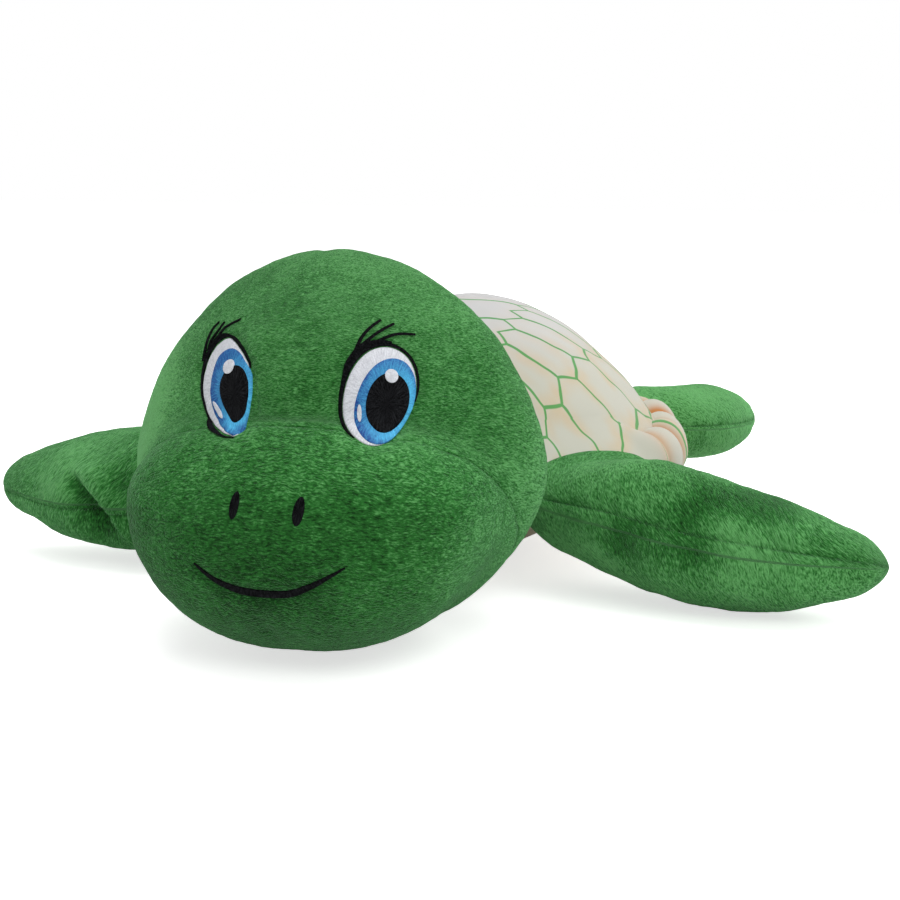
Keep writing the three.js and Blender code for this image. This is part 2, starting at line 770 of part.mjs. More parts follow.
function makeFlipper(f, side, pose, name) {
  const half = (from, count = FLIPPER_STEPS + 1) =>
    range(count, (j) => from + (Math.PI * j) / FLIPPER_STEPS);
  const grid = (inset, turns) => flipperGrid(f, pose, inset, turns);
  const aboveFloor = (solid, lift) => solid.trimByPlane([0, 0, 1], lift - RIM_HEIGHT);
  const panel = (from, lift) =>
    sheet(grid(0, half(from)), grid(FABRIC, half(from))).translate([0, 0, lift]);
  const fillInset = FABRIC + FILL_GAP;
  const rows = grid(fillInset, [...half(0, FLIPPER_STEPS), ...half(Math.PI, FLIPPER_STEPS)]);
  const pole = (row) => {
    const middle = row.reduce((sum, p) => sum.add(p), new THREE.Vector3());
    return row.map(() => middle.clone().divideScalar(row.length));
  };
  const core = wrapped([pole(rows[0]), ...rows, pole(rows.at(-1))]);
  const group = new THREE.Group();
  const angle = radians(f.hingeAngleDeg);
  group.position.copy(ovalPoint(angle, 1, 0, RIM_HEIGHT));
  group.position.x *= side;
  const length = angle < 0 ? BODY_FRONT_LENGTH : BODY_REAR_LENGTH;
  const facing = Math.atan2(
    Math.sin(angle) / length,
    Math.cos(angle) / BODY_HALF_WIDTH,
  );
  group.rotation.z = side > 0 ? facing : Math.PI - facing;
  const mirrored = (solid) => (side > 0 ? solid : solid.mirror([0, 1, 0]));
  const top = panel(0, SEAM_GAP / 2);
  const bottom = aboveFloor(panel(Math.PI, -SEAM_GAP / 2), 0);
  group.add(
    piece(`${name}_flipper_top_panel`, mirrored(top), greenPile),
    piece(`${name}_flipper_bottom_panel`, mirrored(bottom), greenPile),
    piece(`${name}_flipper_filling`, mirrored(aboveFloor(core, fillInset)), filling),
  );
  return group;
}

const turtle = new THREE.Group();
turtle.add(
  makeBody(),
  makeNeck(),
  makeHead(),
  makeFlipper(FRONT_FLIPPER, 1, FRONT_LEFT_POSE, "front_left"),
  makeFlipper(FRONT_FLIPPER, -1, FRONT_RIGHT_POSE, "front_right"),
  makeFlipper(REAR_FLIPPER, 1, REAR_POSE, "rear_left"),
  makeFlipper(REAR_FLIPPER, -1, REAR_POSE, "rear_right"),
);

export default turtle;
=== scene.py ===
# %% [markdown]
# A plush sea turtle, sewn from short-pile fabric and stuffed. The imported CAD model is loaded first, as a fixed
# frame. Every soft piece made below stands for CAD solids of the same place, and all but the flippers move with
# the same body.

# %% The frame
import math

import bpy
import numpy as np
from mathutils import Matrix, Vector, noise
from types import SimpleNamespace as Form


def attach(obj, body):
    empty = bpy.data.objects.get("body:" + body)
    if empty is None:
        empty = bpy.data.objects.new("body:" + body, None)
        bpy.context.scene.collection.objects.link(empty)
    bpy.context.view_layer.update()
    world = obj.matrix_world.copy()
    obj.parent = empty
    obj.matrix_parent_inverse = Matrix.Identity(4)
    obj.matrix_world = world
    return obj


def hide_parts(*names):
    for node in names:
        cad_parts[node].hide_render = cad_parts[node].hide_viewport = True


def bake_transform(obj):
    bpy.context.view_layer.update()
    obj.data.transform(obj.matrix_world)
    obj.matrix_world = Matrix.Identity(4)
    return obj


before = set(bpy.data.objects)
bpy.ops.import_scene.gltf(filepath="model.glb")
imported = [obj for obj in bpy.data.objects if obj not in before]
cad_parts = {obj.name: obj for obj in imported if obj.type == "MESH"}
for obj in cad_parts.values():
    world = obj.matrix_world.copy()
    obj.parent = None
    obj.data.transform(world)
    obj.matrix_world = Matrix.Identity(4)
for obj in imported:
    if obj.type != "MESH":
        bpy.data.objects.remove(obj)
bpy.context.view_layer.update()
MM = 0.001

# %% [markdown]
# The camera stands a little above the floor, to the turtle's left, about 0.7 m away. It was found by fitting
# the outline of the solids to the photograph. A long lens keeps the far flipper nearly as large as the near one.


# %% The camera
def put(name, data):
    made = bpy.data.objects.new(name, data)
    bpy.context.scene.collection.objects.link(made)
    return made


camera = put("camera", bpy.data.cameras.new("camera"))
camera.data.lens, camera.data.sensor_width, camera.data.clip_end = 73.84, 36, 20
camera.location = (0.2497, -0.7059, 0.1734)
camera.rotation_euler = (math.radians(80), 0, math.radians(20))
bpy.context.scene.camera = camera
bpy.context.scene.view_settings.view_transform = "Standard"
print("camera", tuple(camera.location))

# %% [markdown]
# Materials are written as sums and products. This small class holds a socket of a material that is being made,
# and turns Python's operators into Math nodes.


# %% Shader sums
class Socket:
    def __init__(self, finish, socket):
        self.finish, self.socket = finish, socket

    def math(self, operation, *others):
        return self.finish.node("Math", dict(enumerate((self, *others))), operation=operation)

    def __add__(self, other): return self.math("ADD", other)
    def __sub__(self, other): return self.math("SUBTRACT", other)
    def __rsub__(self, other): return self.finish.node("Math", {0: other, 1: self}, operation="SUBTRACT")
    def __mul__(self, other): return self.math("MULTIPLY", other)
    def __abs__(self): return self.math("ABSOLUTE")
    def __gt__(self, other): return self.math("GREATER_THAN", other)
    def least(self, other): return self.math("MINIMUM", other)
    def most(self, other): return self.math("MAXIMUM", other)
    __radd__, __rmul__ = __add__, __mul__

    def held(self):
        """The value, kept between 0 and 1."""
        return self.most(0.0).least(1.0)

    def bounce(self, length):
        """Up from 0 to a length and back again, over and over."""
        return self.math("PINGPONG", length)

    def beside(self, output):
        """Another output of the same node."""
        return Socket(self.finish, self.socket.node.outputs[output])

    def ease(self, low, high):
        """0 below low, 1 above high, and smooth between them."""
        return self.finish.node("MapRange", {"Value": self, "From Min": low, "From Max": high},
                                interpolation_type="SMOOTHSTEP")


class Finish:
    """A material in the making, or a world."""

    def __init__(self, name, shelf=bpy.data.materials):
        self.made = shelf.new(name)
        self.made.use_nodes = True
        self.tree = self.made.node_tree
        self.tree.nodes.clear()

    def node(self, kind, inputs, output=0, **settings):
        made = self.tree.nodes.new("ShaderNode" + kind)
        for key, value in settings.items():
            if key == "stops":
                ramp = made.color_ramp.elements
                while len(ramp) < len(value):
                    ramp.new(0.5)
                for stop, (place, colour) in zip(ramp, value):
                    stop.position, stop.color = place, colour
            else:
                setattr(made, key, value)
        for key, value in inputs.items():
            if isinstance(value, Socket):
                self.tree.links.new(value.socket, made.inputs[key])
            else:
                made.inputs[key].default_value = value
        return Socket(self, made.outputs[output])

    def attribute(self, name, output="Vector"):
        return self.node("Attribute", {}, output, attribute_name=name)

    def noise(self, vector, along, across=None, detail=2.0, roughness=0.5):
        """Noise with one scale, or with one along the pile and another across it."""
        if across:
            vector = self.node("VectorMath", {0: vector, 1: (along, along, across)}, operation="MULTIPLY")
        return self.node("TexNoise", {"Vector": vector, "Scale": 1.0 if across else along, "Detail": detail,
                                      "Roughness": roughness})

    def bump(self, height, strength, distance):
        return self.node("Bump", {"Height": height, "Strength": strength, "Distance": distance})

    def blend(self, share, first, second):
        return self.node("Mix", {0: share, 6: first, 7: second}, 2, data_type="RGBA")

    def surface(self, **sockets):
        names = {key.replace("_", " "): value for key, value in sockets.items()}
        return self.finish(self.node("BsdfPrincipled", names))

    def finish(self, shader, output="OutputMaterial"):
        out = self.tree.nodes.new("ShaderNode" + output)
        self.tree.links.new(shader.socket, out.inputs["Surface"])
        return self.made


def colour(red, green, blue):
    """A colour given from 0 to 255, as it looks on a screen, in the linear values that Blender uses."""
    linear = [c / 255 / 12.92 if c <= 10 else ((c / 255 + 0.055) / 1.055) ** 2.4 for c in (red, green, blue)]
    return (*linear, 1.0)


print("mid green", [round(c, 3) for c in colour(53, 113, 58)])

# %% [markdown]
# Everything sewn is a skin over stuffing. A skin is made here as a mesh from rows of points in millimetres, with
# one extra vector at each point, the grain: how far it lies along the pile and across it. The pile's streaks
# follow the grain, so they turn with the panel as they do on the real fabric. A second value, the tone, makes
# places paler or darker. A cloth simulation could puff the panels up instead. Placed points were chosen because
# the photograph shows where each fold lies, and because they come out the same at every run.


# %% Skins from rows of points
def skin(name, points, faces, grain, tone, look, scutes=None):
    mesh = bpy.data.meshes.new(name)
    mesh.from_pydata((np.asarray(points) * MM).tolist(), [], [list(dict.fromkeys(f)) for f in faces])
    tone = np.zeros(len(points)) if tone is None else tone
    for key, values in {"grain": grain, "tone": tone, "scutes": scutes}.items():
        if values is not None:
            kind, slot = ("FLOAT", "value") if key == "tone" else ("FLOAT_VECTOR", "vector")
            values = np.asarray(values, np.float32).ravel()
            mesh.attributes.new(key, kind, "POINT").data.foreach_set(slot, values)
    mesh.validate()
    mesh.shade_smooth()
    mesh.materials.append(look)
    return put(name, mesh)


def stands_for(made, body, nodes):
    """Tells the frame a piece's body and the CAD nodes that it replaces."""
    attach(made, body)
    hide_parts(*nodes)


def cells(rows, columns, closed):
    """The four-cornered faces of a grid of points, rows by columns."""
    i, j = np.meshgrid(np.arange(rows - 1), np.arange(columns if closed else columns - 1), indexing="ij")
    k = (j + 1) % columns
    corners = [i * columns + j, i * columns + k, (i + 1) * columns + k, (i + 1) * columns + j]
    return np.stack([c.ravel() for c in corners], 1)


def capped(rows, columns, cap):
    """The faces of closed rings, and one more that fills the ring of a cap."""
    return [*cells(rows, columns, True).tolist(), list(cap)]


def lumps(points, size, seed):
    """Smooth noise from -1 to 1 at each point, with lumps of about that size in mm."""
    return np.array([noise.noise(Vector((p[0] / size + seed, p[1] / size - seed, p[2] / size))) for p in points])


def smooth(low, high, value):
    t = np.clip((value - low) / (high - low), 0, 1)
    return t * t * (3 - 2 * t)


def hill(distance, width):
    return np.exp(-((distance / width) ** 2))


def near(points, place, width):
    """1 at a place, and 0 well away from it."""
    return hill(np.linalg.norm(points - np.array(place, float), axis=1), width)


def with_hem(points, faces, normals, depth=1.6):
    """Turns the raw edge of a panel in towards the stuffing, as the seam allowance is."""
    edges = {}
    for face in (list(dict.fromkeys(face)) for face in faces):
        for a, b in zip(face, [*face[1:], face[0]]):
            key = (min(a, b), max(a, b))
            edges[key] = None if key in edges else (a, b)
    rim = [e for e in edges.values() if e]
    turned = {v: len(points) + n for n, v in enumerate(sorted({v for e in rim for v in e}))}
    below = [points[v] - normals[v] * depth for v in turned]
    hem = [[b, a, turned[a], turned[b]] for a, b in rim]
    return np.vstack([points, below]), [*[list(f) for f in faces], *hem], list(turned)


def outward(points, faces):
    """The normal at each point of a mesh."""
    points = np.asarray(points)
    total = np.zeros_like(points)
    f = np.asarray(faces)
    across = np.cross(points[f[:, 2]] - points[f[:, 0]], points[f[:, 3]] - points[f[:, 1]])
    for corner in range(4):
        np.add.at(total, f[:, corner], across)
    return total / np.maximum(np.linalg.norm(total, axis=1, keepdims=True), 1e-9)


# %% [markdown]
# The green pile is a short minky: fibres under two millimetres long that lie down in streaks. Where a hand has
# brushed them the other way the green turns paler or darker. Noises do it: long thin streaks for the fibres,
# wider ones for the locks that they lie in, both bent aside a little by a third, and large soft patches for the
# brushing. A little sheen gives the pale edge that all such fabric has. Strands of hair could stand for the
# fibres, but they don't travel with an exported mesh, and fibres as short as these show as streaks.


# %% Green pile
def pile(name, deep, middle, pale, sheen_tint, streak=1.0):
    f = Finish(name)
    grain, tone = f.attribute("grain"), f.attribute("tone", "Fac")
    wander = f.noise(grain, 0.14, 0.14)
    aside = f.node("CombineXYZ", {"Z": (wander - 0.5) * 2.2})
    bent = f.node("VectorMath", {0: grain, 1: aside}, operation="ADD")
    fibres = f.noise(bent, 0.62, 2.5, 2.0, 0.6)
    locks = f.noise(bent, 0.2, 0.9, 1.0)
    patches = f.noise(grain, 0.04, 0.06)
    height = fibres * 0.76 + locks * 0.24
    light = (height - 0.5) * 2.3 * streak + (patches - 0.5) * 0.5 + tone + 0.5
    shade = f.node("ValToRGB", {"Fac": light}, stops=[(0.0, deep), (0.5, middle), (1.0, pale)])
    return f.surface(Base_Color=shade, Roughness=0.95, Specular_IOR_Level=0.1, Sheen_Weight=0.42,
                     Sheen_Roughness=0.35, Sheen_Tint=sheen_tint, Normal=f.bump(height, 1.0, 0.0015))


green_pile = pile("green_pile", colour(14, 56, 16), colour(45, 113, 46), colour(106, 178, 104), (0.45, 0.95, 0.5, 1))
cream_pile = pile("cream_pile", colour(176, 158, 128), colour(214, 200, 174), colour(236, 228, 212),
                  (1, 0.95, 0.88, 1), 0.6)
print("piles", green_pile.name, cream_pile.name)

# %% [markdown]
# The shell is a smoother cream fabric, printed with long six-sided scutes in green line. Rows of zigzags cross
# the dome at even steps out from its middle, and lines join one row to the next, half a scute out of step. The
# scutes fan out and widen towards the edge. Each point of the shell carries its place in that print as a vector:
# how many rows out, how many scutes round, and how wide a scute is there in millimetres. In the narrow column
# over the shell's middle only every second joining line is drawn, because there the lines would crowd. A picture
# could hold the print too, but sums keep its lines sharp, and a few numbers change the whole pattern.

# %% Printed shell
ROW, ZIGZAG = 32.4, 0.1
CROWN_WIDTH, FAN, NARROWEST = 3.0, 0.3, 9.5
INK_EDGE, TAN_EDGE = (0.45, 0.85), (8.5, 1.5)


def print_place(out, round_it):
    """The print's own lengths at flat lengths of the shell: out from its middle line, and round along it."""
    width = np.maximum(CROWN_WIDTH + FAN * out, NARROWEST)
    bend = np.hypot(out, 14)
    middle = -38 + 0.81 * bend - 0.00284 * bend ** 2  # a column's curved middle line, as in the photograph
    return np.stack([0.25 + out / ROW, (round_it - middle) / width, width], 1)


def shell_print(name):
    f = Finish(name)
    grain, tone = f.attribute("grain"), f.attribute("tone", "Fac")
    split = f.node("SeparateXYZ", {"Vector": f.attribute("scutes")})
    rows = split + (f.noise(grain, 0.05, detail=1.0) - 0.5) * 0.16
    across = split.beside(1) + (f.noise(grain, 0.06, 0.06, 1.0) - 0.5) * 0.3
    width = split.beside(2)
    row = rows.math("ROUND")
    wave = (across + row.bounce(1.0) * 0.5).bounce(0.5) * 4.0 - 1.0
    offset = rows - row - wave * ZIGZAG
    beyond = offset > 0.0
    place = across + (row + beyond).bounce(1.0) * 0.5
    in_middle = (0 - row - beyond) > -1.5
    line = (place.bounce(0.5) * width).most(place.bounce(1.0) * width * in_middle)
    distance = (abs(offset) * (ROW * 0.8)).least(line)
    fleck = f.noise(grain, 2.4, detail=3.0, roughness=0.65)
    inked = 1 - (distance + (fleck - 0.5) * 0.3).ease(*INK_EDGE)
    peach = distance.ease(*TAN_EDGE) * f.noise(grain, 0.06).ease(0.3, 0.7)
    ground = f.blend(peach * 0.75, colour(197, 196, 183), colour(205, 184, 151))
    # The tone paints light and shade into the print: above zero a pale lavender highlight, below zero a tan-brown
    # shade.
    ground = f.blend(tone.held(), ground, colour(202, 202, 206))
    ground = f.blend((0 - tone).held(), ground, colour(188, 126, 72))
    ground = f.blend((fleck - 0.35) * 0.3, ground, colour(176, 164, 144))
    shade = f.blend(inked * 0.92, ground, f.blend(fleck, colour(50, 136, 54), colour(92, 168, 92)))
    return f.surface(Base_Color=shade, Roughness=0.9, Specular_IOR_Level=0.15, Sheen_Weight=0.25,
                     Sheen_Roughness=0.5, Sheen_Tint=(0.95, 0.95, 1, 1), Normal=f.bump(fleck, 0.35, 0.0006))


printed_shell = shell_print("printed_shell_fabric")
print("rows of scutes", ROW, "mm apart")

# %% [markdown]
# Embroidery is rayon thread laid in satin stitches, side by side across each shape. The thread catches the
# light more than the pile does. A stitch could be a mesh of its own, but there are thousands of them. Here each
# one is a streak across the shape, with bump between the stitches.


# %% Threads
def thread(name, deep, pale, speckle, gloss=0.35):
    f = Finish(name)
    grain, tone = f.attribute("grain"), f.attribute("tone", "Fac")
    stitch = f.noise(grain, 0.3, 1.5, 2.0, 0.6)
    ply = f.noise(grain, 1.7, 2.4, 2.0, 0.7)
    height = stitch * 0.5 + ply * 0.5
    shade = f.blend((tone + (height - 0.5) * speckle * 2.2).held(), deep, pale)
    return f.surface(Base_Color=shade, Roughness=0.6, Specular_IOR_Level=gloss,
                     Normal=f.bump(height, 0.8, 0.0005))


THREADS = {"black_thread": thread("black_thread", colour(1, 1, 2), colour(62, 64, 68), 0.9, 0.03),
           "white_thread": thread("white_thread", colour(120, 124, 134), colour(236, 238, 244), 0.8),
           "blue_thread": thread("blue_thread", colour(0, 58, 140), colour(84, 200, 246), 0.9)}
print("threads", list(THREADS))

# %% [markdown]
# The head is one soft form: a skull, a brow and a muzzle that melt into each other. A point is inside where any
# of the three rounded forms holds it, and a soft minimum takes the corner off where they meet. It could be
# sculpted by hand, but seams, dents and threads can all ask a formula where the surface is. Lengths are in
# millimetres from the middle of the head, with the turtle looking along -Y.

# %% The head's form
SKULL = Form(half=71, front=42, back=53, top=71.8, bottom=59.4, y=7, z=-6.8, power=1.84)
BROW = Form(half=39, front=32.6, back=32.6, top=29.5, bottom=31.5, y=-6, z=21, power=2)
MUZZLE = Form(half=57, front=37.5, back=37.5, top=26, bottom=45.4, y=-32.4, z=-15.8, power=2.17)
HEAD_BLEND, FARTHEST = 0.12, 150.0
NECK = np.array([0, -77.0, 48.0])
HEAD_MIDDLE = np.array([0, -63.0, 19.2])
HEAD_TURN, NECK_TURN = 4.5, 1.5


def form_share(p, form):
    """1 on the surface of a rounded form, and less inside it."""
    x = p[:, 0] / form.half
    y = (p[:, 1] - form.y) / np.where(p[:, 1] < form.y, form.front, form.back)
    z = (p[:, 2] - form.z) / np.where(p[:, 2] < form.z, form.bottom, form.top)
    return (np.abs([x, y, z]) ** form.power).sum(0) ** (1 / form.power)


def head_share(p, forms=(SKULL, BROW, MUZZLE)):
    shares = np.stack([form_share(p, form) for form in forms])
    least = shares.min(0)
    return least - HEAD_BLEND * np.log(np.exp((least - shares) / HEAD_BLEND).sum(0))


def head_normal(p):
    slopes = [head_share(p + step) - head_share(p - step) for step in np.eye(3) * 0.01]
    n = np.stack(slopes, 1)
    return n / np.maximum(np.linalg.norm(n, axis=1, keepdims=True), 1e-12)


def head_surface(start, way):
    """Where lines from points inside the head leave it."""
    start, way = np.broadcast_arrays(np.atleast_2d(start), np.atleast_2d(way))
    near, far = np.zeros(len(way)), np.full(len(way), FARTHEST)
    for _ in range(34):
        middle = (near + far) / 2
        inside = head_share(start + way * middle[:, None]) < 1
        near, far = np.where(inside, middle, near), np.where(inside, far, middle)
    return start + way * near[:, None]


def turned(points, degrees):
    c, s = math.cos(math.radians(degrees)), math.sin(math.radians(degrees))
    return points @ np.array([[c, s, 0], [-s, c, 0], [0, 0, 1]])


def head_place(points):
    """From the middle of the head to the row frame: turned on the neck, and the neck on the body."""
    return turned(turned(np.asarray(points), HEAD_TURN) + HEAD_MIDDLE, NECK_TURN) + NECK


print("head", head_place(head_surface([0, 0, 0], np.vstack([np.eye(3), -np.eye(3)]))).round().tolist())

# %% [markdown]
# An embroidered shape lies in its own flat frame: where it is on the head, which way it faces, and which ways
# are across and up. Every point of it is carried straight in to the head from there. The eyes face out and a
# little up.


# %% Frames for the embroidery
def thread_frame(x, z, turn, tilt):
    turn, tilt = math.radians(turn), math.radians(tilt)
    out = np.array([math.sin(turn) * math.cos(tilt), -math.cos(turn) * math.cos(tilt), math.sin(tilt)])
    across = np.array([math.cos(turn), math.sin(turn), 0])
    centre = head_surface([x, 0, z], [0, -1, 0])[0]
    return Form(centre=centre, out=out, across=across, up=np.cross(out, across))


def flat(at, points):
    """Points of the head in a frame's own flat lengths."""
    d = points - at.centre
    return d @ at.across, d @ at.up, d @ at.out


EYES = {"left": thread_frame(25.7, 23.5, 31, 12), "right": thread_frame(-25.7, 23.5, -31, 12)}
FACE_Z = -20
FACE = thread_frame(0, FACE_Z, 0, 0)
NOSTRILS = {"left": (10.4, -9.4, 1.8, 4.6, 8), "right": (-10.4, -8.6, 1.6, 4.4, 8)}
MOUTH = [[-24.6, -7.8, 0.6], [-21, -10.8, 1.5], [-16.5, -13.4, 2.3], [-11, -15.3, 2.9], [-5, -16.1, 3.1],
         [1, -16.2, 3.1], [7, -15.6, 2.9], [13, -13.2, 2.4], [18.5, -10.2, 1.6], [24.4, -6.6, 0.7]]


def oval(u, v, wide, tall, lean, turns, egg=0.0):
    """Points round an oval whose top leans towards +u, and is wider than its bottom by its egg share."""
    lean = math.radians(lean)
    x = wide * np.cos(turns) * (1 + egg * np.sin(turns))
    y = tall * np.sin(turns)
    return u + x * math.cos(lean) + y * math.sin(lean), v - x * math.sin(lean) + y * math.cos(lean)


def in_oval(u, v, cu, cv, wide, tall, lean, egg=0.0):
    lean = math.radians(lean)
    x = (u - cu) * math.cos(lean) - (v - cv) * math.sin(lean)
    y = ((u - cu) * math.sin(lean) + (v - cv) * math.cos(lean)) / tall
    return np.hypot(x / wide / (1 + egg * np.clip(y, -1, 1)), y)


SOCKETS = {"left": (0.0, -2.2, 12.9, 18.4, 25.3, 0.08), "right": (1.0, -1.6, 12.0, 20.2, -41.8, 0.29)}
print("eyes at", [head_place(e.centre[None])[0].round(1).tolist() for e in EYES.values()])

# %% [markdown]
# The head is not a perfect form. Stuffing makes it lumpy, seams and short darts pull the pile in, and stitches
# hold it down under each embroidered shape. All of that is one sum here, the relief, so that the thread can
# follow the same skin as the pile.


# %% The head's relief
SEAM_FRONT, SEAM_RUN = -44, 110
CROWN = 18


def muzzle_seam(p):
    """How far a point lies above the seam over the muzzle."""
    share = (p[:, 1] - SEAM_FRONT) / SEAM_RUN
    height = 9.5 - 45 * share - 138 * np.maximum(share, 0) ** 2
    slope = -(45 + 276 * np.maximum(share, 0)) / SEAM_RUN
    return (p[:, 2] - height) / np.hypot(1, slope)


def crown_seam(p):
    return p[:, 1] - CROWN


def dart(p, start, end, width):
    """1 on a short sewn fold from start to end, and 0 away from it."""
    start, end = np.array(start, float), np.array(end, float)
    d = end - start
    t = np.clip((p - start) @ d / (d @ d), 0, 1)
    away = np.linalg.norm(p - start - t[:, None] * d, axis=1)
    return hill(away, width) * smooth(0, 0.25, t) * smooth(1, 0.6, t)


# Each dart is (start, end, width, depth), and each dent (place, width, depth).
DARTS = [([41, -52, -39], [33, -6, -57], 2.2, 1.6), ([-3, -62, -48], [-4, -40, -58], 2.2, 1.6),
         ([-4, 2, 66], [-4, 26, 62], 2.5, 0.6)]
DENTS = [([23, -57, 3], 10, 0.8), ([-26, -60, 1], 9, 0.7), ([60, -20, -25], 13, -0.8),
         ([-58, -22, -20], 12, 0.9), ([47, -40, -30], 12, 0.7)]


def head_relief(p):
    above, behind = muzzle_seam(p), crown_seam(p)
    pucker = lumps(p, 6, 3)
    tight = 0.1 + 0.4 * smooth(-56, -20, p[:, 1])
    sunk = 0.9 * tight * hill(above, 1.1) + 0.7 * tight * hill(above, 4) * (1 + 0.4 * pucker)
    sunk += np.where(above > 0, 1.0 * hill(behind, 1.2) + 0.7 * hill(behind, 4.5) * (1 + 0.4 * pucker), 0)
    sunk -= 3.4 * hill(form_share(p, MUZZLE) - head_share(p, (SKULL, BROW)), 0.5)
    for side, eye in EYES.items():
        u, v, w = flat(eye, p)
        share = in_oval(u, v, *SOCKETS[side])
        sunk += np.where(np.abs(w) < 22, 0.9 * smooth(1.12, 0.99, share) + 0.4 * hill(share - 1, 0.22), 0)
    front = p[:, 1] < -30
    for nostril in NOSTRILS.values():
        sunk += np.where(front, 0.7 * hill(in_oval(p[:, 0], p[:, 2], *nostril), 1.5), 0)
    lip = np.interp(p[:, 0], [m[0] for m in MOUTH], [m[1] + FACE_Z for m in MOUTH])
    sunk += np.where(front, 0.7 * hill(p[:, 2] - lip, 2.2) * smooth(27, 22, np.abs(p[:, 0])), 0)
    for start, end, width, depth in DARTS:
        sunk += depth * dart(p, start, end, width)
    for place, width, depth in DENTS:
        sunk += depth * near(p, place, width)
    return 0.7 * lumps(p, 24, 1) + 0.28 * lumps(p, 9, 5) + 0.14 * lumps(p, 2.6, 2) - sunk


def on_head(at, u, v, height):
    """Points of the sewn head under flat places of a frame, raised by a height."""
    aim_u, aim_v = np.array(u, float), np.array(v, float)
    inside = at.centre - at.out * 26
    for _ in range(4):
        start = inside + np.outer(aim_u, at.across) + np.outer(aim_v, at.up)
        p = head_surface(start, at.out)
        p = p + head_normal(p) * (head_relief(p) + height)[:, None]
        met_u, met_v, _ = flat(at, p)
        aim_u, aim_v = aim_u + u - met_u, aim_v + v - met_v
    return p


print("relief at the chin", head_relief(head_surface([0, 0, 0], [0, -0.5, -1])).round(2).tolist())

# %% [markdown]
# The skin of the head is divided as an inflated cube, which gives even cells with no bunching at a pole. Where
# a seam crosses the cells, the nearest points are first moved on to it, so that the cut edge runs cleanly.


# %% The head's skin
def inflated_cube(count):
    t = np.tan(np.linspace(-math.pi / 4, math.pi / 4, count + 1))
    a, b = np.meshgrid(t, t, indexing="ij")
    ways, faces, size = [], [], (count + 1) ** 2
    for side in range(6):
        one = np.full_like(a, 1 if side % 2 else -1)
        parts = [one, a, b] if side % 2 else [one, b, a]
        shift = side // 2
        ways.append(np.stack([parts[(n - shift) % 3] for n in range(3)], -1).reshape(-1, 3))
        faces.append(cells(count + 1, count + 1, False) + side * size)
    ways = np.vstack(ways)
    ways /= np.linalg.norm(ways, axis=1, keepdims=True)
    _, first, same = np.unique(ways.round(5), axis=0, return_index=True, return_inverse=True)
    return ways[first], same.ravel()[np.vstack(faces)]


def to_head(points):
    length = np.linalg.norm(points, axis=1, keepdims=True)
    return head_surface([0, 0, 0], points / length)


def meet_seam(points, quads, level):
    """Moves the nearest points of the head on to a seam, and splits the cells that it still crosses."""
    held = np.zeros(len(points), bool)
    for _ in range(4):
        values = np.where(held, 0.0, level(points))
        edges = np.unique(np.sort(np.vstack([quads[:, [n, (n + 1) % 4]] for n in range(4)]), axis=1), axis=0)
        edges = edges[values[edges[:, 0]] * values[edges[:, 1]] < 0]
        a, b = edges[:, 0], edges[:, 1]
        t = values[a] / (values[a] - values[b])
        for end, other, part in ((a, b, t), (b, a, 1 - t)):
            close = (part < 0.5) & ~held[end]
            moved = to_head(points[end] + (points[other] - points[end]) * part[:, None])
            order = np.argsort(-part[close])
            points[end[close][order]] = moved[close][order]
            held[end[close]] = True
    corners = np.where(held, 0.0, level(points))[quads]
    mixed = (corners.max(1) > 1e-6) & (corners.min(1) < -1e-6)
    first = mixed & (corners[:, 0] == 0) & (corners[:, 2] == 0)
    second = mixed & ~first
    halves = [quads[first][:, [0, 1, 2, 2]], quads[first][:, [0, 2, 3, 3]],
              quads[second][:, [0, 1, 3, 3]], quads[second][:, [1, 2, 3, 3]]]
    return points, np.vstack([quads[~mixed], *halves])


LOWEST = 0.4
CELLS = 110
ways, quads = inflated_cube(CELLS)
middle = head_surface([0, 0, 0], ways)
for seam in (muzzle_seam, crown_seam):
    middle, quads = meet_seam(middle, quads, seam)
placed = head_place(middle + head_normal(middle) * head_relief(middle)[:, None])
placed[:, 2] = np.maximum(placed[:, 2], LOWEST + 0.1 * lumps(middle, 6, 9))
print("head skin", len(middle), "points,", len(quads), "cells")

# %% [markdown]
# The pile of the head lies down from a point on the crown, so its streaks run round the head like lines of
# latitude. The tone is painted light and shade, mixed with brushing of the pile: a painted highlight on the
# crown, the cheeks and the side towards the light, strongest along the right side of the head, and painted
# shade under the chin, over the front of the muzzle and along the seams. It could be painted by brush. A list of
# places is shorter, and each of them is easy to move.

# %% How the head's pile lies
# Each place of painted light, painted shade or brushing is (place, width, change of tone).
PAINTED_LIGHT_AND_BRUSHING = [([34, -50, 2], 17, 0.16), ([-28, -58, 2], 15, 0.12), ([0, 20, 66], 34, 0.2), ([-50, -30, -36], 26, -0.4),
           ([0, -66, -38], 22, -0.3), ([-2, -50, 22], 14, 0.1), ([8, -68, -10], 16, 0.06), ([-66, 0, 5], 24, 1.0),
           ([66, 8, -12], 20, 0.2), ([52, -34, -22], 20, 0.16), ([36, -6, 52], 34, 0.12), ([-4, -46, 46], 22, -0.04)]
GIRTH, ARC = 72, 66
from_crown = middle - [0, 6, 0]
pole = np.array([0, 0.25, 0.97])
rise = from_crown @ pole / np.linalg.norm(from_crown, axis=1)
level = from_crown - np.outer(from_crown @ pole, pole)
level /= np.maximum(np.linalg.norm(level, axis=1, keepdims=True), 1e-6)
head_grain = np.stack([level[:, 0] * GIRTH, (level @ np.cross(pole, [1, 0, 0])) * GIRTH,
                       np.arccos(np.clip(rise, -1, 1)) * ARC], 1)
above, behind = muzzle_seam(middle), crown_seam(middle)
painted_light_and_brushing = np.zeros(len(middle))
for place, width, change in PAINTED_LIGHT_AND_BRUSHING:
    painted_light_and_brushing += change * near(middle, place, width)
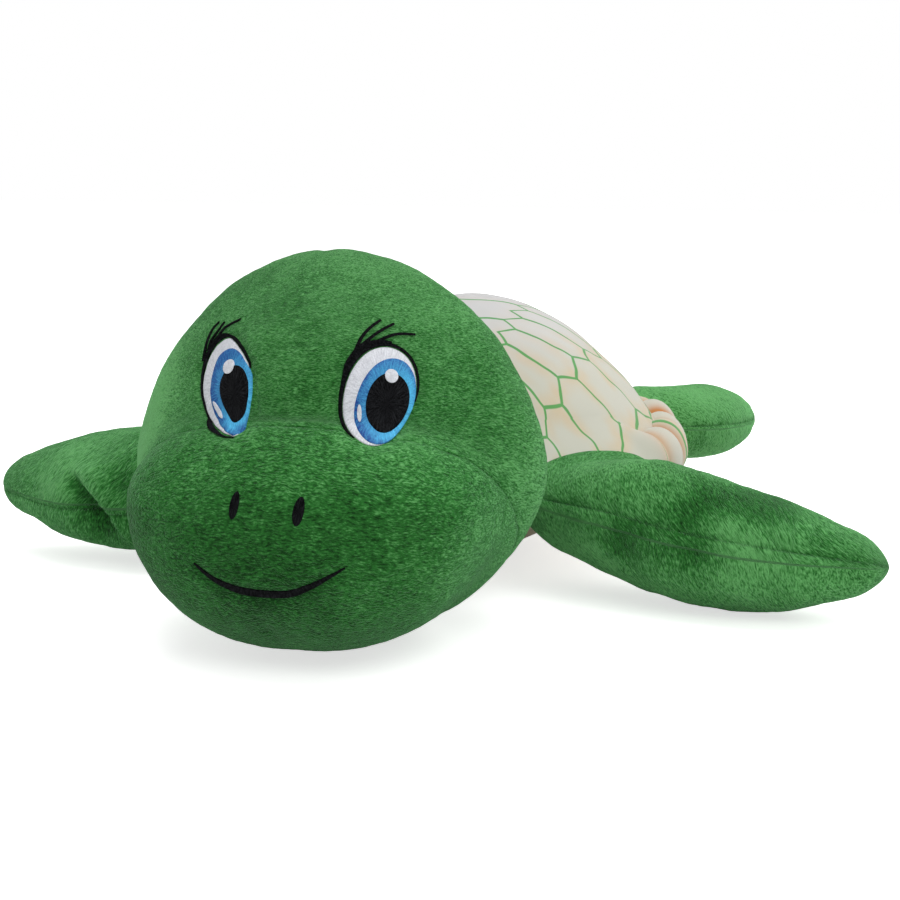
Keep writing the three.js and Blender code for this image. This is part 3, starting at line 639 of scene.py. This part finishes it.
# Painted shade: darker over the front of the muzzle below its seam, and in narrow lines along both seams.
painted_light_and_brushing += 0.04 - 0.17 * smooth(4, -12, above) * smooth(10, -30, middle[:, 1])
tight = 0.35 + 0.65 * smooth(-56, -20, middle[:, 1])
painted_light_and_brushing -= 0.16 * tight * hill(above, 0.9) + np.where(above > 0, 0.2 * hill(behind, 1.1), 0)
print("tones from", painted_light_and_brushing.min().round(2), "to", painted_light_and_brushing.max().round(2))

# %% [markdown]
# The skin is cut along both seams into the three panels that the real head is sewn from, and the raw edge of
# each is turned in.

# %% The head's panels
upper = above[quads].mean(1) > 0
rear = behind[quads].mean(1) > 0
panels = {"head_forehead": upper & ~rear, "head_back": upper & rear, "head_muzzle": ~upper}


def cut_panel(name, points, faces, normals, grain, tone, look):
    used, where = np.unique(faces, return_inverse=True)
    points, normals, grain, tone = points[used], normals[used], grain[used], tone[used]
    all_points, all_faces, turned_in = with_hem(points, where.reshape(faces.shape).tolist(), normals)
    grain = np.vstack([grain, grain[turned_in]])
    # The turned-in hem gets painted shade: its tone is 0.3 darker than the edge it turns from.
    tone = np.concatenate([tone, tone[turned_in] - 0.3])
    return skin(name, all_points, all_faces, grain, tone, look)


head_out = outward(placed, quads)
if (head_out * (placed - placed.mean(0))).sum() < 0:
    quads, head_out = quads[:, ::-1], -head_out
for name, chosen in panels.items():
    panel = cut_panel(name + "_cover", placed, quads[chosen], head_out, head_grain, painted_light_and_brushing, green_pile)
    nodes = [name + "_panel", "head_filling"] if name == "head_back" else [name + "_panel"]
    stands_for(panel, "head", nodes)
    print(panel.name, len(panel.data.polygons), "faces")

# %% [markdown]
# Each colour of thread is a low cushion of stitches. A filled shape is made as rings from its middle to its
# edge, and a line, lash or lip as a narrow ribbon along a curve. Both are rounded down into the pile at their
# edges. The grain makes the stitches run from the middle of a filled shape outwards, and across a line.


# %% Threads on the head
def spline(points, steps, closed=False):
    """A smooth curve through points, each with as many numbers as wanted."""
    p = np.array(points, float)
    p = np.vstack([p[-1], p, p[:2]] if closed else [2 * p[0] - p[1], p, 2 * p[-1] - p[-2]])
    t = np.linspace(0, len(p) - 3 - 1e-6, steps)
    i, f = np.floor(t).astype(int), (t % 1)[:, None]
    a, b, c, d = p[i], p[i + 1], p[i + 2], p[i + 3]
    return 0.5 * (2 * b + (c - a) * f + (2 * a - 5 * b + 4 * c - d) * f ** 2 + (3 * b - a - 3 * c + d) * f ** 3)


SUNK_EDGE, SUNK_SIDE = 0.9, 0.7
LINE_HEIGHT, LINE_TONE, LAPPED = 0.5, 0.08, 0.04
STEPS, ACROSS = 70, 9


def thread_patch(name, at, shape, height, slot, tone, rings=9, turns=120):
    """A filled shape of thread: an oval (u, v, wide, tall, lean, egg), or a list of edge points."""
    turn = np.linspace(0, 2 * math.pi, turns, endpoint=False)
    if isinstance(shape, list):
        edge = spline(shape, turns + 1, True)[:-1].T
        middle = edge.mean(1)[:, None]
        radius = np.linalg.norm(edge - middle, axis=0).mean()
    else:
        cu, cv, wide, tall, lean, *egg = shape
        middle, edge = np.array([[cu], [cv]]), np.array(oval(cu, cv, wide, tall, lean, turn, *egg))
        radius = (wide + tall) / 2
    shares = [*np.linspace(0.02, 0.94, rings), 0.965, 0.985, 1.0]
    u, v = np.concatenate([middle + (edge - middle) * share for share in shares], 1)
    share = np.repeat(shares, turns)
    points = on_head(at, u, v, height - (height + SUNK_EDGE) * smooth(0.955, 1.0, share))
    grain = np.stack([share * radius, np.zeros_like(share), np.tile(turn, len(shares)) * radius], 1)
    value = tone(u, v) if callable(tone) else np.full(len(points), tone)
    faces = capped(len(shares), turns, range(turns)[::-1])
    return skin(name, head_place(points), faces, grain, value, THREADS[slot])


def thread_ribbon(at, points, height, start):
    """A ribbon of thread along (u, v, width) points: its points, faces from a start number, and grain."""
    line = spline(points, STEPS)
    way = np.gradient(line[:, :2], axis=0)
    way /= np.linalg.norm(way, axis=1, keepdims=True)
    side = np.stack([-way[:, 1], way[:, 0]], 1)
    length = np.concatenate([[0], np.cumsum(np.linalg.norm(np.diff(line[:, :2], axis=0), axis=1))])
    cross = np.linspace(-1, 1, ACROSS)
    uv = line[:, None, :2] + side[:, None] * (line[:, 2, None, None] / 2 * cross[None, :, None])
    rise = np.tile(height - (height + SUNK_SIDE) * smooth(0.82, 1.0, np.abs(cross)), STEPS)
    grain = np.stack([(line[:, 2:3] * cross).ravel(), np.zeros(len(rise)), np.repeat(length, ACROSS)], 1)
    return on_head(at, *uv.reshape(-1, 2).T, rise), cells(STEPS, ACROSS, False) + start, grain


def thread_lines(name, at, lines):
    count = STEPS * ACROSS
    ribbons = [thread_ribbon(at, line, LINE_HEIGHT + LAPPED * n, n * count) for n, line in enumerate(lines)]
    points, faces, grain = (np.vstack([ribbon[n] for ribbon in ribbons]) for n in range(3))
    grain[:, 2] += np.repeat(np.arange(len(lines)), count) * 17.0
    return skin(name, head_place(points), faces.tolist(), grain, np.full(len(points), LINE_TONE),
                THREADS["black_thread"])


def lid_line(white, widths):
    """The outline of an eye: a ribbon along the edge of the white, of a width that changes with the turn."""
    turns = np.radians(np.linspace(widths[0][0], widths[-1][0], 26))
    ribbon = np.interp(-turns, np.radians([-turn for turn, _ in widths]), [width for _, width in widths])
    cu, cv, wide, tall, lean, *egg = white
    return [[*oval(cu, cv, wide + w / 2 - 0.25, tall + w / 2 - 0.25, lean, t, *egg), w]
            for t, w in zip(turns, ribbon)]


# %% [markdown]
# The two eyes were sewn alike, and pulled differently as the head was stuffed. The left one is made of ovals,
# each with (u, v, wide, tall, lean, egg). The right one is bent over the side of the head, down to a point, so
# its white, its iris and its lid go by points along their edges. A line's points are (u, v, width).

# %% The shapes of the eyes
WHITE = {"left": (0, -2.2, 11.5, 17.2, 25.3, 0.08),
         "right": [[12.8, -4.3], [11.6, 0.8], [9.4, 5.8], [4.5, 10.6], [-3.1, 14.6], [-7.4, 15.5], [-12, 13],
                   [-14.2, 8], [-13.6, 2.6], [-11.4, -4], [-4.9, -11.2], [4.3, -14.7], [12.5, -16.1],
                   [16.6, -15.8], [13.8, -10.5]]}
IRIS = {"left": (1.5, -3.9, 9.4, 15.3, 28.3, 0.08),
        "right": [[12.8, -4.3], [11.8, 0.4], [9.4, 5.8], [3.9, 10.5], [-0.4, 12.1], [-3.9, 12], [-7.4, 9.5],
                  [-8.3, 5.5], [-7.7, 0.2], [-6.9, -3.7], [-4.6, -7.3], [-1.2, -10.6], [4.6, -13.6],
                  [11.5, -15.5], [16.4, -15.6], [13.8, -10.5]]}
PUPIL = {"left": (2.2, -4.4, 7.1, 10.3, 23, 0.09), "right": (5.7, -2.8, 6, 10.3, -30.6, 0.34)}
LARGE_GLINT = {"left": (4.3, 4.2, 2.3, 2.3, 0), "right": (0.1, 5.8, 2.6, 2.5, 0)}
SMALL_GLINT = {"left": (-7.1, -7.2, 0.7, 2.9, 5), "right": (-0.1, -8.6, 0.7, 4.4, -55)}
LID_WIDTHS = [(249, 0.4), (232, 1.2), (200, 1.4), (178, 1.8), (162, 3.3), (142, 3.6), (126, 2.2), (108, 1.4),
              (60, 1.2), (25, 1), (10, 0.35)]
LIDS = {"left": lid_line(WHITE["left"], LID_WIDTHS),
        "right": [[17, -15.9, 0.3], [9.8, -16.1, 0.5], [-1.5, -12.9, 0.6], [-9.9, -6.4, 1.1], [-13.6, 0.2, 1.8],
                  [-15.2, 5, 2.2], [-15.1, 8.9, 2.2], [-13.5, 12.6, 1.8], [-10.9, 14.9, 1.4], [-7.4, 15.8, 1.1],
                  [-3.4, 15.1, 1.1], [1, 13.2, 1], [4.6, 11.1, 0.9], [7.6, 8.6, 0.7], [9, 6.4, 0.4]]}
LASHES = {
    "left": [[[-9.4, 7.6, 0.9], [-8.4, 9.1, 1.3], [-5.1, 15.1, 1.25], [-2.8, 18.2, 1.15], [0.3, 20.8, 1.1],
              [3.6, 22.8, 0.9]],
             [[-7.2, 10.6, 0.9], [-5.7, 13.2, 1.3], [0.2, 17.6, 1.2], [3.9, 19.7, 1.1], [7.7, 21.4, 0.9]],
             [[-4.6, 12.4, 0.9], [-2.3, 14, 1.3], [4.9, 17.1, 1.2], [9, 17.9, 1.1], [14.2, 17.6, 0.9]],
             [[-7.9, 9.5, 1], [-5.2, 13, 1.7], [-1.7, 15, 1.8], [2.2, 15.6, 1.5], [6, 15.2, 0.8]]],
    "right": [[[-16.6, 6.3, 1], [-17.6, 14.2, 1.05], [-17.4, 17.8, 0.9], [-15.8, 20.1, 0.7]],
              [[-15.8, 9.9, 1], [-15.2, 13.9, 1.05], [-12.5, 20.2, 0.75]],
              [[-14, 12.5, 1], [-11.3, 17.4, 1], [-9, 19.3, 0.9], [-4.3, 21.8, 0.7]],
              [[-16.3, 7.3, 1], [-13.2, 14.3, 1.3], [-10.3, 15.9, 1.2], [-6.9, 16.2, 0.7]]]}
print("lashes", {side: len(lines) for side, lines in LASHES.items()})

# %% [markdown]
# The threads are laid one over the other, as the machine sews them: first the outline with its lashes and the
# white, then the iris, the pupil and the glints. The iris is dyed in two blues, so its tone changes over it.


# %% Eyes, nostrils and mouth
def iris_tone(side):
    """Deep blue all round, palest in a ring beside the pupil's right and lower edge."""
    cu, cv = PUPIL[side][:2]

    def tone(u, v):
        below_right = smooth(-6, 5, (u - cu) * 0.8 - (v - cv) * 0.5)
        ring = smooth(1.38, 1.12, in_oval(u, v, *PUPIL[side]))
        return 0.2 + ring * (0.22 + 0.3 * below_right) - 0.08 * smooth(4, -9, (u - cu) + 0.2 * (v - cv))
    return tone


for side, at in EYES.items():
    outline = thread_lines(f"{side}_eye_outline_thread", at, [LIDS[side], *LASHES[side]])
    stands_for(outline, "head", [f"{side}_eye_outline"])
    for part, shapes, height, slot, tone in (
            ("white", WHITE, 0.35, "white_thread", 0.72), ("iris", IRIS, 0.6, "blue_thread", iris_tone(side)),
            ("pupil", PUPIL, 0.85, "black_thread", 0.14), ("large_glint", LARGE_GLINT, 1.1, "white_thread", 0.78),
            ("small_glint", SMALL_GLINT, 0.95, "white_thread", 0.75)):
        patch = thread_patch(f"{side}_eye_{part}_thread", at, shapes[side], height, slot, tone)
        stands_for(patch, "head", [f"{side}_eye_{part}"])
    print(side, "eye", [round(c / MM) for c in outline.dimensions])

for side, (x, z, *form) in NOSTRILS.items():
    nostril = thread_patch(f"{side}_nostril_thread", thread_frame(x, z, 0, 0), (0, 0, *form), 0.15,
                           "black_thread", 0.12, turns=48)
    stands_for(nostril, "head", [f"{side}_nostril"])
mouth = thread_lines("mouth_thread", FACE, [MOUTH])
stands_for(mouth, "head", ["mouth"])
print("mouth", [round(c / MM) for c in mouth.dimensions])

# %% [markdown]
# The body is an oval cushion, a little shorter in front than behind. Its dome is one panel of the print, drawn in
# at its edge by the seam to the rim. Both share the same uneven puckers, so these are worked out once here.

# %% The body's oval
HALF_WIDTH, FRONT, REAR = 80.0, 66.0, 82.0
RIM, RIM_HEIGHT = 10.0, 42.0
TOP, DOME_POWER, PEAK_Y = 105.5, 1.92, 8.0
EDGE = RIM_HEIGHT + RIM


def round_oval(turn, share, outside, z, back=0.0):
    length = np.where(np.sin(turn) < 0, FRONT, REAR)
    x = (HALF_WIDTH * share + outside) * np.cos(turn)
    y = (length * share + outside) * np.sin(turn) + back
    return np.stack(np.broadcast_arrays(x, y, z), -1)


def ring_noise(reach, height):
    """Smooth noise at each turn round the body, from -1 to 1."""
    return np.array([noise.noise(Vector((math.cos(a) * reach, math.sin(a) * reach, height))) for a in around])


def shell_grain(arc, turn):
    return np.stack([arc * np.abs(np.cos(turn)), arc * np.sin(turn), np.zeros_like(arc)], 1)


def dome_arc(share):
    """How far along the dome's curve a share of its width lies from the middle."""
    steps = np.linspace(0, 1, 400)
    rise = (TOP - EDGE) * DOME_POWER * steps ** (DOME_POWER - 1)
    return np.interp(share, steps, np.concatenate([[0], np.cumsum(np.hypot(HALF_WIDTH, rise)[1:] / 399)]))


COLUMNS = 640
PUCKERS = 28
around = np.linspace(0, 2 * math.pi, COLUMNS, endpoint=False)
phase = around * PUCKERS + ring_noise(2.2, 4) * 8
shaded = 1 - np.abs(np.sin(phase / 2))
valley = 1 - np.abs(np.sin(phase / 2)) ** 0.5
strength = 0.65 + 0.45 * ring_noise(3, 8)
# How far to the rear each turn lies, from -90 in front to 90 behind, and where the rim lies flush with the dome.
rearward = np.degrees(np.arctan2(np.sin(around), np.abs(np.cos(around))))
flush = smooth(-12, -24, rearward) * smooth(-66, -52, rearward)

shares = np.sin(np.linspace(0.004, 1, 70) * math.pi / 2)
rows, lengths = [], []
for share in shares:
    z = EDGE + (TOP - EDGE) * (1 - share ** DOME_POWER)
    pulled = (1.5 * hill(share - 1, 0.022) + valley * strength * 1.1 * smooth(0.86, 1.0, share)) * (1 - flush)
    rows.append(round_oval(around, share, -0.5 * pulled, z - 0.6 * pulled - 0.2, PEAK_Y * (1 - share ** 2)))
    lengths.append(np.full(COLUMNS, dome_arc(share)))
points, arc = np.vstack(rows), np.concatenate(lengths)
points += outward(points, cells(len(shares), COLUMNS, True)) * 0.9 * lumps(points, 22, 2)[:, None]
grain = shell_grain(arc, np.tile(around, len(shares)))
# Painted highlight over the top of the dome, and painted shade along its edge where the seam draws it in.
tone = 0.75 * smooth(74, 104, points[:, 2])
tone -= 0.35 * smooth(0.95, 1, np.repeat(shares, COLUMNS)) * (1 - np.tile(flush, len(shares)))
dome = skin("shell_dome_cover", points, capped(len(shares), COLUMNS, range(COLUMNS)[::-1]), grain, tone,
            printed_shell, print_place(grain[:, 0], grain[:, 1]))
print("dome", len(points), "points, edge", round(float(dome_arc(1)), 1), "mm from the middle")

# %% [markdown]
# The rim is a strip of the same print, gathered on both edges, so it stands out in small uneven puckers with
# painted tan-brown shade in the folds between them. Now and then a line of the print crosses it. Above the front
# flippers the photograph shows no gathers: there the strip lies flush with the dome, starts under its edge and
# carries its print on. The folds are uneven waves round the body, because one wave can then shape a fold and
# paint its shade as well.

# %% The gathered rim
SECTION, CURL, LOOSE = 26, math.pi * 0.62, 1.24
FOLD, HELD_FOLD = 2.8, 3.0
UNDER, FULL, RAISED = 9.0, RIM + 0.8, RIM_HEIGHT + 1.2
CROSSINGS = [-90, -66, -42, -12, 5, 46, 70, 90], [-6, -4, -2, 0, 2, 4, 6, 8]
edge_arc = float(dome_arc(1))
start_z = EDGE + (TOP - EDGE) * (1 - (1 - UNDER / HALF_WIDTH) ** DOME_POWER)
start_arc = float(dome_arc(1 - UNDER / HALF_WIDTH))
rows, lengths, tones = [], [], []
for n, b in enumerate(np.linspace(CURL, -CURL, SECTION)):
    held = abs(math.sin(b)) ** 1.5
    fold = valley * strength * (FOLD + HELD_FOLD * held) * (1 - 0.8 * flush)
    out = (FULL - fold) * math.cos(b) + 0.4 * np.sin(phase * 0.37 + n * 0.15) * (1 - flush)
    tall = RIM + 3.2 + 3.0 * smooth(0, 40, rearward) if b > 0 else RIM + 0.5
    z = RAISED + (tall - fold * (0.8 if b > 0 else 0.2)) * math.sin(b) + 0.6 * np.sin(phase * 0.5) * (1 - flush)
    if b > 0:
        way = 1 - b / CURL
        fall = 1.1 * way - 0.6 * way ** 2 + 0.5 * way ** 3
        out += flush * ((UNDER + FULL) * way - UNDER - out)
        z += flush * (start_z - (start_z - RAISED) * fall - z)
    length = n / (SECTION - 1) * RIM * math.pi * LOOSE
    rows.append(round_oval(around, 1, out, z))
    lengths.append(edge_arc + length + flush * (start_arc - edge_arc + length * 0.42))
    # Painted shade: darkest, towards tan-brown, in the middle of each fold and in the stronger puckers, but not
    # where the rim is flush.
    tones.append((-0.04 - 1.9 * shaded ** 2 * (0.7 + 0.3 * held) * strength ** 2) * (1 - flush))
grain = shell_grain(np.concatenate(lengths), np.tile(around, SECTION))
crossing = np.stack(np.broadcast_arrays(-0.4, np.tile(np.interp(rearward, *CROSSINGS), SECTION), 12.0), 1)
is_flush = np.tile(flush, SECTION)[:, None] > 0
rim = skin("shell_rim_cover", np.vstack(rows), cells(SECTION, COLUMNS, True).tolist(), grain,
           np.concatenate(tones), printed_shell,
           np.where(is_flush, print_place(grain[:, 0], grain[:, 1]), crossing))
print("rim", round(rim.dimensions[0] / MM), "by", round(rim.dimensions[1] / MM), "mm")

# %% [markdown]
# The belly is one panel of cream pile. It is tucked in under the rim, slopes down from there, and is flat where
# the toy rests on the table.

# %% The belly
FLAT, BELLY_POWER, REST_Y = 0.2, 0.95, 12.0
shares = np.linspace(1, 0.01, 60)
rows = []
for share in shares:
    lift = np.clip((share - FLAT) / (1 - FLAT), 0, 1) ** BELLY_POWER
    z = 0.3 + (RIM_HEIGHT - RIM - 0.6) * lift
    tucked = 3.0 * smooth(0.9, 1, share) + valley * strength * smooth(0.85, 1, share)
    rows.append(round_oval(around, share, -tucked, z, REST_Y * (1 - share ** 2)))
points = np.vstack(rows)
last_ring = range(len(points) - COLUMNS, len(points))
belly = skin("belly_cover", points, capped(len(shares), COLUMNS, last_ring), points, None, cream_pile)
stands_for(dome, "torso", ["shell_dome", "body_filling"])
stands_for(rim, "torso", ["shell_gathered_rim"])
stands_for(belly, "torso", ["belly_panel"])
print("body covers ride on the torso")

# %% [markdown]
# The neck is a short stuffed sleeve, sewn into the shell behind and into the head in front, with soft gathers
# at both ends. Little of it is ever seen, so a plain tube is enough.

# %% The neck
NECK_RADIUS, NARROWED, GATHERED, NECK_HALF = 23.6, 3.0, 0.9, 24
NECK_ROWS, NECK_RING = 40, 96
turns = np.linspace(0, 2 * math.pi, NECK_RING, endpoint=False)
along = np.linspace(-NECK_HALF, NECK_HALF, NECK_ROWS)
gathers = np.sin(turns * 13 + 1.5 * np.sin(turns * 3)) * 0.5 + 0.5
rows = []
for y in along:
    end = abs(y / NECK_HALF)
    radius = NECK_RADIUS - NARROWED * end ** 4 - GATHERED * gathers * end ** 0.5
    rows.append(np.stack([radius * np.cos(turns), np.full(NECK_RING, y), radius * np.sin(turns)], 1) + NECK)
round_it, length = np.tile(turns * 24, NECK_ROWS), np.repeat(along, NECK_RING)
neck = skin("neck_cover", np.vstack(rows), cells(NECK_ROWS, NECK_RING, True)[:, ::-1].tolist(),
            np.stack([round_it, np.zeros_like(length), length], 1), None, green_pile)
stands_for(neck, "neck", ["neck_sleeve", "neck_filling"])
print("neck", round(neck.dimensions[1] / MM), "mm long")

# %% [markdown]
# A flipper is sewn from a top and a bottom panel, with a seam all round its edge. It swells from its root, is
# fullest before its middle, sweeps back, and narrows to a blunt tip. The inner end is closed against the rim,
# where it is stitched on. Two flat panels could be blown up until they are full, as the real one was. Breadth
# and thickness by formula keep closer to the outline in the photograph.

# %% A flipper's form
FRONT_FLIPPER = Form(angle=-37, reach=100.2, sweep=61, root_drop=3.4, drop=13.1, drop_power=3.2, root_half=35,
                     half=30, widest=0.4, root_above=12.9, root_below=22.5, thick=24.6, thickest=0.38,
                     narrowing=2.56, pointedness=0.66, blunt=0.3)
REAR_FLIPPER = Form(angle=50, reach=64, sweep=-6, root_drop=-3, drop=-2.5, drop_power=2, root_half=16,
                    half=24, widest=0.45, root_above=16.5, root_below=14, thick=16, thickest=0.5,
                    narrowing=2.5, pointedness=0.62, blunt=0)
ROOT, CLOSED_OVER, CLOSED_TO = 10.1, 13.5, 0.45


def leaf(f, root, greatest, at, share):
    """A size that swells from the root to its greatest, and narrows to the tip from there."""
    past = np.maximum((share - at) / (1 - at), 0)
    size = root + (greatest - root) * smooth(0, at, share)
    blunt = f.blunt * np.sqrt(1 - past) * smooth(0.8, 1, past)
    return size * ((1 - past ** f.narrowing) ** f.pointedness + blunt)


def breadth(f, share):
    return leaf(f, f.root_half, f.half, f.widest, share)


def thickness(f, share, turn):
    root = np.where(np.sin(turn) > 0, f.root_above, f.root_below)
    return leaf(f, root, f.thick, f.thickest, np.maximum(share, ROOT / f.reach))


def flipper_points(f, roll, lift, share, turn):
    """Points in the flipper's own lengths: X out from its hinge, Y to the rear, Z up."""
    half = breadth(f, np.maximum(share, ROOT / f.reach))
    thick = thickness(f, share, turn)
    x = f.reach * share
    closing = np.clip(1 - ((ROOT - x) / CLOSED_OVER).clip(0, 1) ** 4, 0, 1) ** 0.25
    slope = np.arctan2(2 * f.sweep * share, f.reach)
    across = half * np.cos(turn) * (CLOSED_TO + (1 - CLOSED_TO) * closing)
    rolled = math.radians(roll) * np.clip(share / 0.3, 0, 1)
    z = x * math.tan(math.radians(lift)) - across * np.tan(rolled) + thick * closing * np.sin(turn)
    z -= f.drop + (f.root_drop - f.drop) * np.clip(1 - share, 0, 1) ** f.drop_power
    swept = f.sweep * share ** 2 * (share > 0)
    return np.stack([x - across * np.sin(slope), swept + across * np.cos(slope), z], -1)


def hinge(f, side):
    angle = math.radians(f.angle)
    length = FRONT if angle < 0 else REAR
    place = round_oval(np.array([angle]), 1, 0, RIM_HEIGHT)[0] * [side, 1, 1]
    out = np.array([side * math.cos(angle) / HALF_WIDTH, math.sin(angle) / length, 0])
    out /= np.linalg.norm(out)
    return place, out, np.array([-out[1], out[0], 0]) * side


print("front hinge at", hinge(FRONT_FLIPPER, 1)[0].round(1).tolist())

# %% [markdown]
# Each flipper lies in its own way, as stuffing settles: the near front one has shallow dimples along its
# seam, and the far one is kinked by a sharp fold. These are pressed into the skin before it is cut in two.


# %% Sewing a flipper
STILL, BENT, INSIDE = 5, 24, -3.2


def sew_flipper(name, f, side, roll, lift, seams, press):
    rows, ring = ((150, 150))
    start = INSIDE / f.reach
    t = np.linspace(0, 1, rows)
    share = start + (1 - start) * (1 - (1 - t) ** 1.7) ** 0.85
    share[-1] = 1
    turn = np.linspace(0, 2 * math.pi, ring, endpoint=False)
    s, a = (m.ravel() for m in np.meshgrid(share, turn, indexing="ij"))
    local = flipper_points(f, roll, lift, s, a)
    faces = cells(rows, ring, True)
    normals = outward(local, faces)
    if (normals * (local - local.mean(0))).sum() < 0:
        faces, normals = faces[:, ::-1], -normals
    front_seam, rear_seam = seams
    thick = thickness(f, np.clip(s, 0, 0.97), a)
    wrapped = (a + math.pi) % (2 * math.pi) - math.pi
    in_front = np.cos(a) < 0
    gap = np.where(in_front, a - math.pi + front_seam, wrapped - rear_seam) * thick
    pucker = lumps(local, 5, 6)
    sunk = (0.7 + 0.3 * pucker) * hill(gap, 1.1) + (0.55 + 0.5 * pucker) * hill(gap, 4.5)
    fade = smooth(0, 0.12, s) * smooth(1.0, 0.93, s)
    pressed, shaded = press(local)
    soft = 0.9 * lumps(local, 20, side * 3 + 2) + 0.35 * lumps(local, 8, 4) + 0.15 * lumps(local, 2.6, 2)
    local = local + normals * ((soft - sunk - pressed) * fade)[:, None]
    place, out, back = hinge(f, side)
    world = place + local @ np.array([out, back, [0, 0, 1]])
    world[:, 2] = np.maximum(world[:, 2], LOWEST)
    if side < 0:
        faces = faces[:, ::-1]
    normals = outward(world, faces)
    girth = a * breadth(f, np.clip(s, 0, 0.8)) * 0.8
    lean = np.radians(np.where(np.sin(a) > 0, 52, 82))
    length = f.reach * s * 1.1
    grain = np.stack([length * np.cos(lean) + girth * np.sin(lean), np.full_like(s, side * 40),
                      girth * np.cos(lean) - length * np.sin(lean)], 1)
    # Painted shade along the seam, at most 0.14 darker; the whole skin is made 0.2 paler.
    tone = shaded - 0.14 * hill(gap, 0.9) + 0.2
    height = np.sin(a - np.where(in_front, -front_seam, rear_seam))[faces].mean(1)
    made = []
    for part, chosen in (("top", height >= 0), ("bottom", height < 0)):
        panel = cut_panel(f"{name}_flipper_{part}_cover", world, faces[chosen], normals, grain, tone, green_pile)
        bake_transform(panel)
        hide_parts(f"{name}_flipper_{part}_panel", *([f"{name}_flipper_filling"] if part == "top" else []))
        made.append(panel)
    print(name, "flipper,", sum(len(p.data.polygons) for p in made), "faces")


def spots(list_of_spots):
    """Dents with painted shade, and paler or darker places: each is a place, a width, a depth and a change of tone.
    """
    def press(p):
        depth, tone = np.zeros(len(p)), np.zeros(len(p))
        for place, width, deep, change in list_of_spots:
            depth += deep * near(p, place, width)
            tone += change * near(p, place, width)
        return depth, tone
    return press


def fold_and_spots(p):
    """The far flipper's kink: a groove down its front, with a ridge beside it."""
    depth, tone = spots([((68, -7, -5), 6, 1.0, -0.25), ((40, 0, 8), 25, 0, 0.1), ((90, 15, -5), 20, 0, 0.22)])(p)
    line = np.array([-15.0, -24.6]) / math.hypot(15, 24.6)
    away = p[:, [0, 2]] - [83, -2.4]
    down, beside = away @ line, away @ np.array([-line[1], line[0]])
    reached = smooth(16, 4, p[:, 1]) * smooth(-9, 4, down) * smooth(34, 22, down)
    groove = np.where(beside > 0, hill(beside - 2.5, 6) * smooth(-1.2, 1.6, beside), 0)
    depth += reached * (5.2 * groove - 1.8 * hill(beside + 3, 4))
    # Painted shade in the groove, and the whole far flipper 0.12 darker.
    tone -= reached * 0.5 * groove + 0.12
    return depth, tone


# In these lists, as in the far flipper's, dents are made darker as painted shade; places with no depth are only made
# paler or darker.
near_spots = spots([((51, -20, -14), 8, 1.6, -0.42), ((76, -6, -15), 8, 1.7, -0.42), ((69, -5, -1), 7, 1.1, -0.36),
                    ((100, 32, -8), 6, 1.1, -0.22), ((70, 8, 3), 10, 0.2, -0.36), ((76, 24, 2), 12, 0.3, -0.36),
                    ((84, 20, 0), 8, 0, -0.2), ((60, -12, -10), 9, 0.5, -0.12), ((40, -18, 2), 12, 0, 0.1),
                    ((98, 10, -8), 16, 0, 0.24), ((30, -28, -8), 9, 0.3, -0.1), ((88, 0, -24), 16, 0, 0.12)])
rear_spots = spots([((34, 0, 4), 42, 0, 0.3), ((36, -20, 8), 9, 0.6, -0.12), ((24, -21, -4), 7, 0.8, -0.15),
                    ((44, -16, 10), 14, 0, 0.16)])
sew_flipper("front_left", FRONT_FLIPPER, 1, 7.7, -4.7, (0.22, 0.0), near_spots)
sew_flipper("front_right", FRONT_FLIPPER, -1, -4.5, 0, (-0.12, 0.0), fold_and_spots)
sew_flipper("rear_left", REAR_FLIPPER, 1, 0, 0, (0.1, 0.0), rear_spots)
sew_flipper("rear_right", REAR_FLIPPER, -1, 0, 0, (0.1, 0.0), rear_spots)

# %% [markdown]
# The toy lies on a white table in soft light from all round, with a large lamp overhead and two more on its
# left, in front and behind. The floor is a little brighter for the camera than for the toy, so that it looks
# white and still holds the soft shadow.

# %% Floor, lamps and world
f = Finish("floor")
seen = f.node("LightPath", {})
seen = seen.most(seen.beside("Is Glossy Ray")).most(seen.beside("Is Transmission Ray"))
matt = f.node("BsdfDiffuse", {"Color": (0.92, 0.92, 0.92, 1)})
glow = f.node("Emission", {"Color": (1, 1, 1, 1), "Strength": seen * 0.66})
f.finish(f.node("AddShader", {0: matt, 1: glow}))
floor_mesh = bpy.data.meshes.new("floor")
floor_mesh.from_pydata([(-3, -3, 0), (3, -3, 0), (3, 3, 0), (-3, 3, 0)], [], [(0, 1, 2, 3)])
floor_mesh.materials.append(f.made)
floor = put("floor", floor_mesh)

sky = Finish("studio", bpy.data.worlds)
brightness = sky.node("MapRange", {"Value": sky.node("LightPath", {}), "To Min": 0.4, "To Max": 1.0})
air = sky.node("Background", {"Color": (1, 1, 1, 1), "Strength": brightness})
bpy.context.scene.world = sky.finish(air, "OutputWorld")


def lamp(name, place, size, power, aim=(0, -0.06, 0.06)):
    made = put(name, bpy.data.lights.new(name, "AREA"))
    made.data.size, made.data.energy, made.location = size, power, place
    made.rotation_euler = (Vector(aim) - Vector(place)).to_track_quat("-Z", "Y").to_euler()


lamp("overhead", (0, -0.1, 1.9), 1.4, 17.5)
lamp("front", (0.75, -1.2, 1.3), 1.0, 8)
lamp("back", (1.2, 0.9, 1.2), 1.2, 13)
